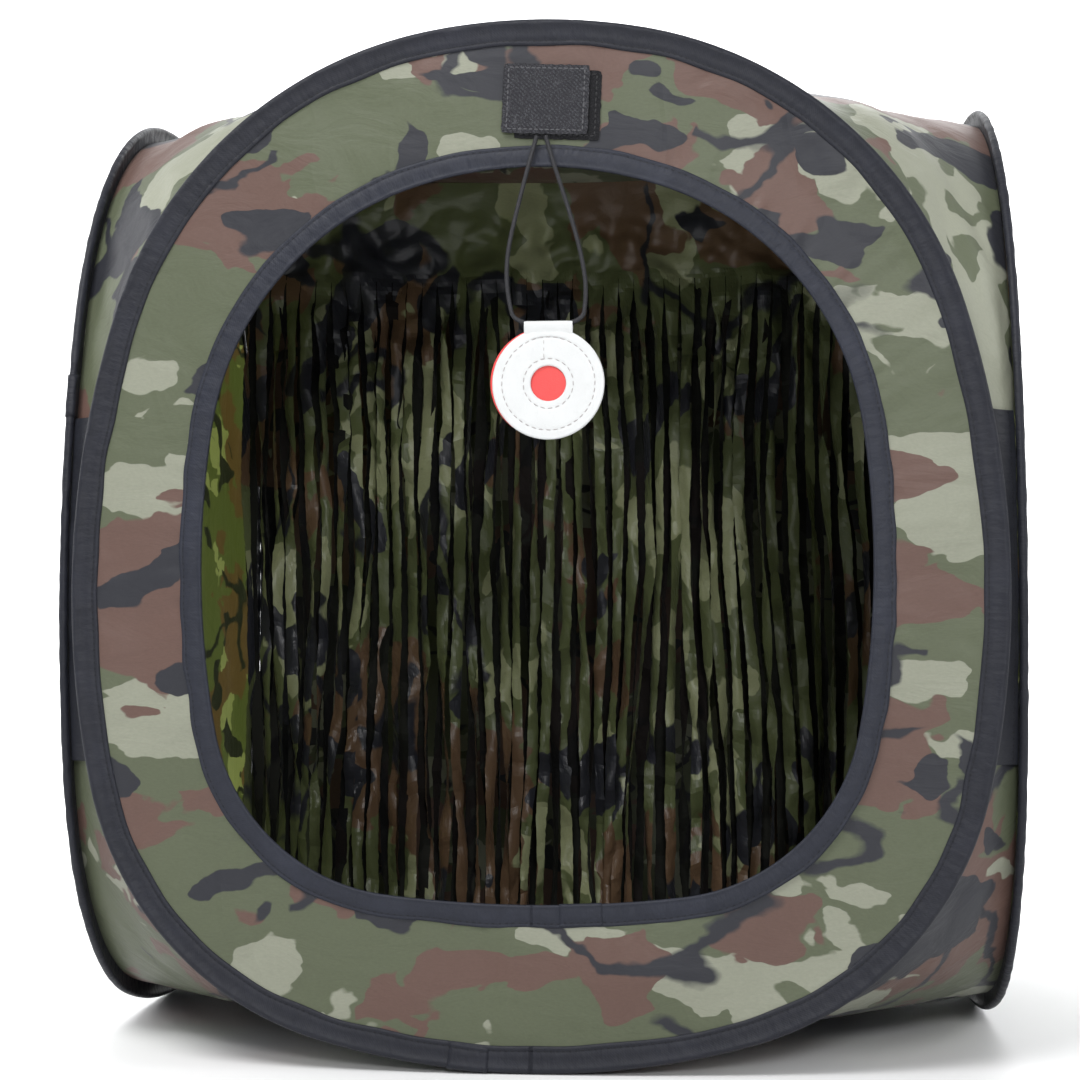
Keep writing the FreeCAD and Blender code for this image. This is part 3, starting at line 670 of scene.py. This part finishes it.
def skin_points(upper, seed):
    rim, reach = skin_edge(upper)
    share = np.sin(np.linspace(0, 1, 60) * math.pi / 2) ** 0.9
    x = rim[:, None, 0] * share[None, :]
    y = rim[:, None, 1] * share[None, :]
    z = skin_shape(x, y, upper)
    past = np.clip((np.abs(x) + np.abs(y) - SKIN_HALF) / reach, 0, 1)
    edge = SKIN_HALF - np.maximum(np.abs(x), np.abs(y))
    pinned = 1 - np.exp(-edge / 0.012)
    along = (np.abs(x) - np.abs(y)) * np.sign(x * y)
    folds = ripples(along, z * 0.35, seed, 0.050) * past + ripples(x, y, seed + 1, 0.11) * (1 - past)
    fine = ripples(x + z, y - z, seed + 2, 0.035)
    pinned = pinned * (1 - np.exp(-np.abs(y - CURTAIN_Y) / 0.012))
    lift = pinned * ((0.0032 if upper else 0.0015) * folds + 0.0010 * fine)
    if not upper:
        lift = np.where(past > 0, lift, np.abs(lift) * 0.5)
    slope = past ** 1.5
    up = (1 if upper else -1) * (1 - slope)
    points = np.stack([x + np.sign(x) * slope * lift * 0.7, y + np.sign(y) * slope * lift * 0.7,
                       z + (up * lift if upper else np.abs(up * lift))], -1)
    points[..., :2] = np.clip(points[..., :2], -SKIN_HALF, SKIN_HALF)
    steps = np.linalg.norm(np.diff(points, axis=1), axis=-1)
    run = np.concatenate([np.zeros((len(rim), 1)), np.cumsum(steps, axis=1)], 1)
    heading = rim / np.linalg.norm(rim, axis=1, keepdims=True)
    return points, heading[:, None, :] * run[..., None]


def add_skin(upper, material, seed):
    """The roof or the floor, cut along the curtain's seam: each half rides on the hoop it is sewn to."""
    name = "roof" if upper else "floor"
    points, uv = skin_points(upper, seed)
    faces = grid_faces(*points.shape[:2], close_rows=True)
    for half, body, sign in (("front", "front", 1), ("rear", "back", -1)):
        piece = mesh_object(f"{name}_{half}_cloth", points, faces, uv, material)
        weld(piece)
        work = bmesh.new()
        work.from_mesh(piece.data)
        everything = work.verts[:] + work.edges[:] + work.faces[:]
        bmesh.ops.bisect_plane(work, geom=everything, plane_co=(0, CURTAIN_Y, 0), plane_no=(0, sign, 0),
                               clear_outer=True)
        area = sum(f.calc_area() for f in work.faces)
        work.to_mesh(piece.data)
        work.free()
        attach(piece, body)
        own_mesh(piece)
        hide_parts(f"{name}_{half}")


def add_corner_tapes(material):
    """Black tape between neighbouring hoops, over the stretch where they nearly meet."""
    z = np.linspace(WIDEST - TAPE_HALF - 0.002, WIDEST + TAPE_HALF + 0.002, 70)[:, None]
    half_edge = HOOP.at[: len(HOOP.s) // 2]
    reach = np.interp(z, half_edge[:, 1], half_edge[:, 0]) - 0.0032
    inner = PLANE - SLEEVE_RADIUS - 0.0002
    k = np.linspace(0, 1, 9)[None, :]
    bow = 0.0012 * np.sin(k * math.pi) + 0.0002 * ripples(z, k * 0.01, 77, 0.02)
    x = reach + (inner - reach) * k - bow
    y = -(inner + (reach - inner) * k) + bow
    rows, columns = x.shape
    uv = np.stack(np.broadcast_arrays(z, k * 0.014), -1)
    corners = (("front_right_tape", 0, "front", "right"), ("front_left_tape", -90, "left", "front"),
               ("back_left_tape", 180, "back", "left"), ("back_right_tape", 90, "right", None))
    for node, angle, first, second in corners:
        c, s = round(math.cos(math.radians(angle))), round(math.sin(math.radians(angle)))
        short = 1.0 if second else SHORT_TAPE
        px, py = x[:, :1] + (x - x[:, :1]) * short, y[:, :1] + (y - y[:, :1]) * short
        points = np.stack([px * c - py * s, px * s + py * c, np.broadcast_to(z, x.shape)], -1).reshape(-1, 3)
        name = node.replace("tape", "hinge_tape")
        piece = mesh_object(name, points, grid_faces(rows, columns), uv, material)
        if second is None:
            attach(piece, first)
        else:
            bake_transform(piece)
        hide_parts(node)


# ==== curtain ====

def curtain_fold(x, z):
    """How far the curtain's sheet stands back from its flat plane, from the roof down."""
    hang = np.clip((HOOP_TOP - z) / 0.06, 0, 1)
    broad = 0.0052 * ripples(x, z, 71, 0.085, 2.0)
    tight = 0.0030 * ripples(x, z, 72, 0.030, 1.3)
    sharp = 0.0050 * (0.6 - np.abs(ripples(x, z, 73, 0.050, 1.1)))
    sharp = sharp + 0.0028 * (0.6 - np.abs(ripples(x, z, 74, 0.026)))
    return hang * (broad + tight + sharp)


def add_header(material):
    x = np.linspace(-CURTAIN_HALF, CURTAIN_HALF, 220)[:, None]
    top = skin_shape(x, np.full_like(x, CURTAIN_Y), True) - 0.0004
    share = np.linspace(0, 1, 34)[None, :]
    z = SLIT_TOP - 0.003 + (top - SLIT_TOP + 0.003) * share
    y = CURTAIN_Y + curtain_fold(x, z) * (1 - share ** 3)
    points = np.stack(np.broadcast_arrays(x, y, z), -1)
    uv = np.stack(np.broadcast_arrays(x, z), -1)
    piece = mesh_object("curtain_top", points, grid_faces(*points.shape[:2]), uv, material)
    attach(piece, "curtain")
    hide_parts("curtain_header")


def zigzag(d, dice, pitch):
    """Sharp creases down a strip, at uneven distances."""
    at = np.cumsum(dice.uniform(0.35, 1.6, 60)) * pitch - pitch
    value = dice.uniform(-1, 1, 60)
    return np.interp(d, at, value)


def strip_points(x0, width, seed, side):
    """One strip: pinned to the sheet at its top, then curling, twisting, wandering and creased below."""
    dice = np.random.default_rng(seed)
    length = (SLIT_TOP - STRIP_LOW) * dice.uniform(0.955, 1.0)
    d = np.linspace(-0.002, length, 150)[:, None]
    w = np.linspace(-0.5, 0.5, 7)[None, :]
    slit = dice.uniform(0.0, 0.010)
    opened = np.clip((d - slit) / dice.uniform(0.018, 0.045), 0, 1)
    loose = np.clip((d - slit) / 0.09, 0, 1)
    turn = dice.normal(0, 0.70) + 0.40 * ripples(d, 0 * d, seed + 1, 0.20, count=6)
    twist = opened * (turn + 0.90 * zigzag(d, dice, 0.045))
    clump = 0.0052 * ripples(x0 + 0 * d, d, 91, 0.060, 6.0)
    stray = 0.0024 * ripples(d, 0 * d, seed + 2, 0.30, count=6) + 0.0009 * zigzag(d, dice, 0.030)
    sway_x = loose * (clump + stray)
    calm = np.clip((CURTAIN_HALF - abs(x0)) / 0.05, 0.12, 1)
    sway_y = loose * 0.0060 * ripples(d, 0 * d, seed + 3, 0.22, count=6)
    sway_y = sway_y + opened * 0.0048 * zigzag(d, dice, 0.019)
    curl = opened * (0.12 + 0.14 * zigzag(d, dice, 0.040))
    pinch = 1 - opened * (0.25 + 0.13 * zigzag(d, dice, 0.022))
    bend = width * curl * (4 * w ** 2 - 1) * 0.5
    ragged = 0.00025 * ripples(d, w, seed + 5, 0.006)
    across = w * (width - 0.0003)
    wide = across * pinch
    x = x0 + sway_x + wide * np.cos(twist) - bend * np.sin(twist) + ragged
    z = SLIT_TOP - d + loose * 0.0022 * zigzag(d, dice, 0.020) * w * 2
    sheet = curtain_fold(x0 + across, z) * (1 - 0.6 * loose)
    depth = side * (0.0009 + 0.0040 * loose * calm) + calm * (sheet + sway_y)
    y = CURTAIN_Y + depth + wide * np.sin(twist) + bend * np.cos(twist)
    slip = np.clip(d / 0.03, 0, 1) * dice.normal(0, 0.010)
    cloth = np.stack(np.broadcast_arrays(x0 + across, SLIT_TOP - d + slip), -1)
    return np.stack(np.broadcast_arrays(x, y, z), -1), cloth


def add_strips(name, node, side, shift, material, seed):
    """One layer of the curtain below its header."""
    pitch = 2 * CURTAIN_HALF / STRIP_COUNT
    count = STRIP_COUNT if not shift else STRIP_COUNT - 1
    points, uvs, faces, base = [], [], [], 0
    for i in range(count):
        x0 = -CURTAIN_HALF + (i + 0.5) * pitch + shift
        place, cloth = strip_points(x0, pitch, seed + 10 * i, side)
        points.append(place.reshape(-1, 3))
        uvs.append(cloth.reshape(-1, 2))
        faces.append(grid_faces(*place.shape[:2]) + base)
        base += len(points[-1])
    piece = mesh_object(name, np.concatenate(points), np.concatenate(faces), np.concatenate(uvs), material)
    piece.data.polygons.foreach_set("use_smooth", [False] * len(piece.data.polygons))
    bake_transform(piece)
    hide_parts(node)


# ==== patches ====

def patch_frame(node):
    """Middle and tilt of a patch, from its CAD node: the tilted box is a little larger than the patch."""
    size, middle = span(node)
    c, s = math.cos(PATCH_TILT), math.sin(PATCH_TILT)
    width = (size.x * c - size.z * s) / (c * c - s * s)
    height = (size.z * c - size.x * s) / (c * c - s * s)
    return middle, width, height, size.y


def tilted(points, middle):
    """Turns points about a patch's middle by the patch's tilt, as seen from the front."""
    c, s = math.cos(PATCH_TILT), math.sin(PATCH_TILT)
    x = points[..., 0] - middle.x
    z = points[..., 2] - middle.z
    return np.stack([middle.x + x * c + z * s, points[..., 1], middle.z - x * s + z * c], -1)


def add_patch(name, node, body, material, stitches, seed):
    middle, width, height, thick = patch_frame(node)
    rows, columns = 64, 54
    p = np.linspace(-1, 1, rows)[:, None]
    q = np.linspace(-1, 1, columns)[None, :]
    rim = np.maximum(np.abs(p), np.abs(q))
    both = np.clip((np.abs(p) - 0.86) / 0.14, 0, 1) * np.clip((np.abs(q) - 0.83) / 0.17, 0, 1)
    u = p * (width / 2) * (1 - 0.022 * both)
    v = q * (height / 2) * (1 - 0.026 * both)
    fray = 0.00022 * ripples(u, v, seed, 0.004) * rim ** 8
    u = u * (1 + 0 * q) + fray * np.sign(p)
    v = v * (1 + 0 * p) + fray * np.sign(q)
    sewn = np.exp(-((rim - SEWN_AT) / 0.02) ** 2)
    puff = thick * (1 - 0.45 * rim ** 14 - 0.22 * sewn) + 0.00016 * ripples(u, v, seed + 1, 0.010)
    front = np.stack([middle.x + u, middle.y + thick / 2 - puff, middle.z + v], -1)
    back = np.stack([middle.x + u, np.full_like(u, middle.y + thick / 2), middle.z + v], -1)
    points = tilted(np.concatenate([front.reshape(-1, 3), back.reshape(-1, 3)]), middle)
    size = rows * columns
    face = grid_faces(rows, columns)
    edge = [i * columns for i in range(rows)] + [(rows - 1) * columns + j for j in range(1, columns)]
    edge += [i * columns + columns - 1 for i in range(rows - 2, -1, -1)] + list(range(columns - 2, 0, -1))
    wall = [(a, b, b + size, a + size) for a, b in zip(edge, edge[1:] + edge[:1])]
    faces = [tuple(f) for f in face] + [tuple(f[::-1]) for f in face + size] + wall
    piece = mesh_object(name, points, faces, points[:, [0, 2]], material)
    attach(piece, body)
    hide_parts(node)
    line_x, line_z = width / 2 * SEWN_AT, height / 2 * SEWN_AT
    corners = [(-line_x, -line_z), (line_x, -line_z), (line_x, line_z), (-line_x, line_z), (-line_x, -line_z)]
    places = []
    for (x1, z1), (x2, z2) in zip(corners, corners[1:]):
        length = math.hypot(x2 - x1, z2 - z1)
        steps = int(length / 0.0027)
        for i in range(steps):
            k = (i + 0.5) / steps
            places.append((x1 + (x2 - x1) * k, z1 + (z2 - z1) * k, math.atan2(z2 - z1, x2 - x1)))
    face = middle.y - thick * 0.32
    sewing = stitch_object(name + "_stitches", places, middle, face, 0.0019, 0.00032, stitches)
    sewing.data.transform(Matrix.Translation(middle) @ Matrix.Rotation(PATCH_TILT, 4, "Y")
                          @ Matrix.Translation(-middle))
    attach(sewing, body)


def stitch_object(name, places, middle, y, length, radius, material):
    """Short rounded threads lying on a face: places are (x, z, direction) about a middle point."""
    ring, along = 8, 9
    t = np.linspace(0, math.pi, along)
    spin = np.linspace(0, 2 * math.pi, ring, endpoint=False)
    unit = np.stack([np.repeat(-np.cos(t), ring) * length / 2,
                     np.outer(np.sin(t) ** 0.6, np.cos(spin)).ravel() * radius,
                     np.outer(np.sin(t) ** 0.6, np.sin(spin)).ravel() * radius], 1)
    faces = grid_faces(along, ring, close_columns=True)
    points, all_faces = [], []
    dice = np.random.default_rng(5)
    for number, (x, z, direction) in enumerate(places):
        a = direction + dice.normal(0, 0.05)
        c, s = math.cos(a), math.sin(a)
        points.append(np.stack([middle.x + x + unit[:, 0] * c - unit[:, 2] * s, y + unit[:, 1],
                                middle.z + z + unit[:, 0] * s + unit[:, 2] * c], 1))
        all_faces.append(faces + number * len(unit))
    points = np.concatenate(points)
    return mesh_object(name, points, np.concatenate(all_faces), points[:, [0, 2]], material)


# ==== target and its cord ====

def route_curve():
    data = bpy.data.curves.new("cord_route", "CURVE")
    data.dimensions = "3D"
    spline = data.splines.new("NURBS")
    spline.points.add(len(CORD_ROUTE) - 1)
    for point, (x, drop) in zip(spline.points, CORD_ROUTE):
        point.co = (x, CORD_Y, HOOP_TOP - drop, 1)
    spline.order_u = 3
    spline.use_endpoint_u = True
    spline.resolution_u = 14
    curve = bpy.data.objects.new("cord_route", data)
    bpy.context.scene.collection.objects.link(curve)
    return curve


def evaluated_mesh(curve):
    bpy.context.view_layer.update()
    return bpy.data.meshes.new_from_object(curve.evaluated_get(bpy.context.evaluated_depsgraph_get()))


def add_cord(material):
    """The elastic cord: a fixed tube along its route."""
    curve = route_curve()
    path = [tuple(v.co) for v in evaluated_mesh(curve).vertices]
    curve.data.bevel_depth = CORD_RADIUS
    curve.data.bevel_resolution = 5
    curve.data.use_fill_caps = True
    tube = bpy.data.objects.new("elastic_cord", evaluated_mesh(curve))
    bpy.context.scene.collection.objects.link(tube)
    bpy.data.objects.remove(curve)
    tube.data.materials.clear()
    tube.data.materials.append(material)
    tube.data.polygons.foreach_set("use_smooth", [True] * len(tube.data.polygons))
    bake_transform(tube)
    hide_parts("target_cord")


def lathe(name, profile, centre, material, steps=144):
    """A ring or disc about the Y axis through a centre, from (radius, y) points of a closed section."""
    turn = np.linspace(0, 2 * math.pi, steps, endpoint=False)[:, None]
    radius = np.array(profile)[None, :, 0]
    y = np.array(profile)[None, :, 1]
    points = np.stack(np.broadcast_arrays(centre[0] + radius * np.cos(turn), y + 0 * turn,
                                          centre[1] + radius * np.sin(turn)), -1)
    faces = grid_faces(*points.shape[:2], close_rows=True, close_columns=True)
    flat = points.reshape(-1, 3)
    return mesh_object(name, flat, faces, flat[:, [0, 2]], material)


def add_target(white, red, sewing):
    centre = (DISC_MIDDLE.x, DISC_MIDDLE.z)
    outer, behind = DISC_RADIUS, BACK_DISC_RADIUS
    back = CORD_Y - 0.00004
    front = CORD_Y - 0.00118
    ring_out, ring_in = STITCH_RINGS
    r = np.linspace(RED_WINDOW + 0.0005, outer - 0.0005, 44)
    dip = 0.00016 * (np.exp(-((r - ring_out) / 0.0009) ** 2) + np.exp(-((r - ring_in) / 0.0009) ** 2))
    crown = 0.00020 * np.sin((r - RED_WINDOW) / (outer - RED_WINDOW) * math.pi)
    face = [(RED_WINDOW, front + 0.0004), *zip(r, front + dip - crown), (outer, front + 0.00045),
            (outer, back - 0.0003), (outer - 0.0004, back), (RED_WINDOW + 0.0002, back),
            (RED_WINDOW, back - 0.0003)]
    disc = lathe("target_disc", face, centre, white)
    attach(disc, "target")
    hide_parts("target_face")
    flat = (0.00001, 0.0002, 0.0008, 0.006, 0.012, 0.020, 0.026, behind - 0.0004)
    section = [(radius, back + 0.00012) for radius in flat]
    section += [(behind, back + 0.0005), (behind, back + 0.0009), (behind - 0.0004, back + 0.0012),
                (flat[0], back + 0.0012)]
    rear = lathe("target_rear_disc", section, (centre[0] - 0.0016, centre[1] + 0.0005), red)
    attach(rear, "target")
    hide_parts("target_back")
    add_tab(centre, white)
    places = []
    for radius in STITCH_RINGS:
        count = int(2 * math.pi * radius / 0.0036)
        for i in range(count):
            a = 2 * math.pi * i / count
            places.append((radius * math.cos(a), radius * math.sin(a), a + math.pi / 2))
    places += [(-0.0022, ring_in + 0.0014 + k * 0.0033, math.pi / 2) for k in range(3)]
    sewn = stitch_object("target_sewing", places, Vector((centre[0], 0, centre[1])), front - 0.00002, 0.0024,
                         0.00026, sewing)
    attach(sewn, "target")
    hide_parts("target_stitching")


def add_tab(centre, material):
    """The strap of the target, folded over the cord and sewn to the disc."""
    thick = 0.0006
    bore = CORD_RADIUS + 0.00025
    low = centre[1] + 0.0215
    bend = np.linspace(math.pi, 0, 17)
    outer = [(CORD_Y - 0.00118, low), (CORD_Y - 0.00122, low + 0.004), (CORD_Y - 0.0016, TUNNEL_Z - 0.0026)]
    outer += [(CORD_Y + (bore + thick) * math.cos(b), TUNNEL_Z + (bore + thick) * math.sin(b)) for b in bend]
    outer += [(CORD_Y + 0.0013, TUNNEL_Z - 0.0026), (CORD_Y + 0.00085, low + 0.004), (CORD_Y + 0.0008, low)]
    inner = [(CORD_Y + 0.0002, low), (CORD_Y + 0.0002, low + 0.004), (CORD_Y + 0.0006, TUNNEL_Z - 0.0024)]
    inner += [(CORD_Y + bore * math.cos(b), TUNNEL_Z + bore * math.sin(b)) for b in bend[::-1]]
    inner += [(CORD_Y - 0.0010, TUNNEL_Z - 0.0024), (CORD_Y - 0.0005, low + 0.004), (CORD_Y - 0.0004, low)]
    section = np.array(outer + inner)
    half = TAB_WIDTH / 2
    x = np.array([-half, -half + 0.00015, -half + 0.0006, 0, half - 0.0006, half - 0.00015, half])
    shrink = np.array([0.45, 0.85, 1, 1, 1, 0.85, 0.45])
    halfway = (section[: len(outer)] + section[len(outer):][::-1]) / 2
    line = np.concatenate([halfway, halfway[::-1]])
    points = np.stack([np.stack([np.full(len(section), centre[0] + u), *(line + (section - line) * k).T], 1)
                       for u, k in zip(x, shrink)])
    faces = [tuple(f) for f in grid_faces(len(x), len(section), close_columns=True)]
    last = (len(x) - 1) * len(section)
    faces += [tuple(range(len(section))), tuple(reversed(range(last, last + len(section))))]
    flat = points.reshape(-1, 3)
    piece = mesh_object("target_tab", flat, faces, flat[:, [0, 2]], material)
    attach(piece, "target")


# ==== hidden metal, stage and light ====

def dress_metal(steel, aluminium):
    for side in SIDES:
        for node, material in ((side + "_hoop_wire", steel), (side + "_wire_ferrule", aluminium)):
            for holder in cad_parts[node].material_slots:
                holder.material = material


SWEEP_FROM = 2.2                  # how far behind the tent the floor starts to rise
SWEEP_RADIUS = 1.2
STAGE_WIDTH = 14.0
STAGE_FRONT = -6.0
STAGE_TOP = 6.0
UNDER_FOOT = 0.0003               # gap between the floor and the tent
AMBIENT = (0.96, 0.98, 1.0, 1)
AMBIENT_STRENGTH = 0.42
LIGHTS = (                        # name, place, aimed at, width and height, watts
    ("key", (-0.6, -1.25, 1.75), (0, -0.2, 0.25), (0.9, 0.7), 31),
    ("fill", (0.45, -2.3, 0.95), (0, 0, 0.2), (0.35, 0.35), 16),
    ("left_rim", (-1.7, 0.2, 1.0), (-0.2, 0, 0.25), (1.0, 1.2), 12),
    ("right_side", (2.1, -0.2, 1.2), (0.1, 0, 0.25), (1.0, 1.0), 14),
    ("behind", (0, 2.2, 2.1), (0, 0.2, 0.25), (1.6, 0.6), 14),
    ("backdrop", (0, 1.1, 2.4), (0, 3.3, 0.9), (2.4, 1.0), 170),
)


def add_stage():
    """A floor that sweeps up into a backdrop, all in one pale sheet."""
    bend = np.linspace(0.1, 1, 12) * math.pi / 2
    floor, wall = np.linspace(STAGE_FRONT, SWEEP_FROM, 12), np.linspace(1.5 * SWEEP_RADIUS, STAGE_TOP, 6)
    depth = np.concatenate([floor, SWEEP_FROM + SWEEP_RADIUS * np.sin(bend),
                            np.full(len(wall), SWEEP_FROM + SWEEP_RADIUS)])
    height = np.concatenate([np.zeros(len(floor)), SWEEP_RADIUS * (1 - np.cos(bend)), wall])
    x = np.linspace(-STAGE_WIDTH / 2, STAGE_WIDTH / 2, 9)[:, None]
    points = np.stack(np.broadcast_arrays(x, depth[None, :], height[None, :] - UNDER_FOOT), -1)
    made = Nodes("stage_white")
    grain = made.noise(made.space(), 3.0, 2.0)
    shade = made.mix(grain, (0.86, 0.865, 0.87, 1), (0.90, 0.90, 0.90, 1))
    material = made.finish(made.surface(shade, 0.6, specular=0.2))
    mesh_object("stage_floor", points, grid_faces(*points.shape[:2]), None, material)


def add_light(name, place, aim, size, power):
    data = bpy.data.lights.new(name, "AREA")
    data.shape = "RECTANGLE"
    data.size, data.size_y = size
    data.energy = power
    lamp = bpy.data.objects.new(name, data)
    lamp.location = place
    lamp.rotation_euler = (Vector(aim) - Vector(place)).to_track_quat("-Z", "Y").to_euler()
    bpy.context.scene.collection.objects.link(lamp)


def add_world():
    world = bpy.data.worlds.new("studio")
    world.use_nodes = True
    background = world.node_tree.nodes["Background"]
    background.inputs["Color"].default_value = AMBIENT
    background.inputs["Strength"].default_value = AMBIENT_STRENGTH
    bpy.context.scene.world = world
    bpy.context.scene.view_settings.view_transform = "Standard"


def main():
    add_camera()
    add_cord(braid("elastic_braid"))
    black = tape("black_binding", (0.012, 0.013, 0.019), SLEEVE_SEAM)
    binding = tape("opening_binding_cloth", (0.016, 0.018, 0.027), BINDING_SEAM)
    add_tapes(black, binding)
    add_front_panel(camo("front_camo", (0.37, 0.12), 0.03, placed=True))
    add_disc_panel("left", camo("left_camo", (1.43, 0.61), 0.27), 51)
    add_disc_panel("right", camo("right_camo", (2.71, 1.33), 0.12), 54)
    add_disc_panel("back", camo("back_camo", (3.93, 2.21), 0.0), 57)
    add_skin(True, camo("roof_camo", (4.77, 0.91), 0.0, 1.1, 1.0), 61)
    add_skin(False, camo("floor_camo", (6.61, 3.37), 0.0, 1.0, 1.0), 65)
    add_corner_tapes(tape("corner_tape_cloth", (0.011, 0.012, 0.017), 0.012))
    curtain = camo("curtain_camo", (7.37, 0.79), 0.02, 1.05, 1.0, 0.26, tint=(1.0, 1.03, 0.74))
    add_header(curtain)
    add_strips("strips_front", "front_strips", -1, 0.0, curtain, 1000)
    # The rear layer's print is darkened to a twentieth: painted shade, for the dark seen between the strips.
    shaded = camo("curtain_rear_painted_shade", (8.91, 2.79), 0.0, 0.05, 1.0, 0.8)
    add_strips("strips_rear", "rear_strips", 1, CURTAIN_HALF / STRIP_COUNT, shaded, 5000)
    fuzz = hook_tape("loop_fuzz", (0.006, 0.006, 0.007), 0.0012, 0.9)
    black_thread = thread("black_thread", (0.012, 0.012, 0.014))
    add_patch("loop_patch_fuzz", "loop_patch", "front", fuzz, black_thread, 81)
    hooks = hook_tape("hook_rows", (0.022, 0.022, 0.026), 0.0011, 0.35)
    add_patch("hook_patch_tape", "hook_patch", "patch", hooks, thread("dark_thread", (0.11, 0.11, 0.12)), 85)
    add_target(leather("white_target", (0.64, 0.65, 0.65), (0.56, 0.57, 0.57)),
               leather("red_target", (0.74, 0.075, 0.068), (0.60, 0.05, 0.05)),
               thread("pale_thread", (0.46, 0.43, 0.43)))
    dress_metal(metal("spring_wire", (0.42, 0.42, 0.44), 0.25),
                metal("crimp_metal", (0.70, 0.70, 0.72), 0.30))
    add_stage()
    for light in LIGHTS:
        add_light(*light)
    add_world()


main()
bpy.context.view_layer.update()
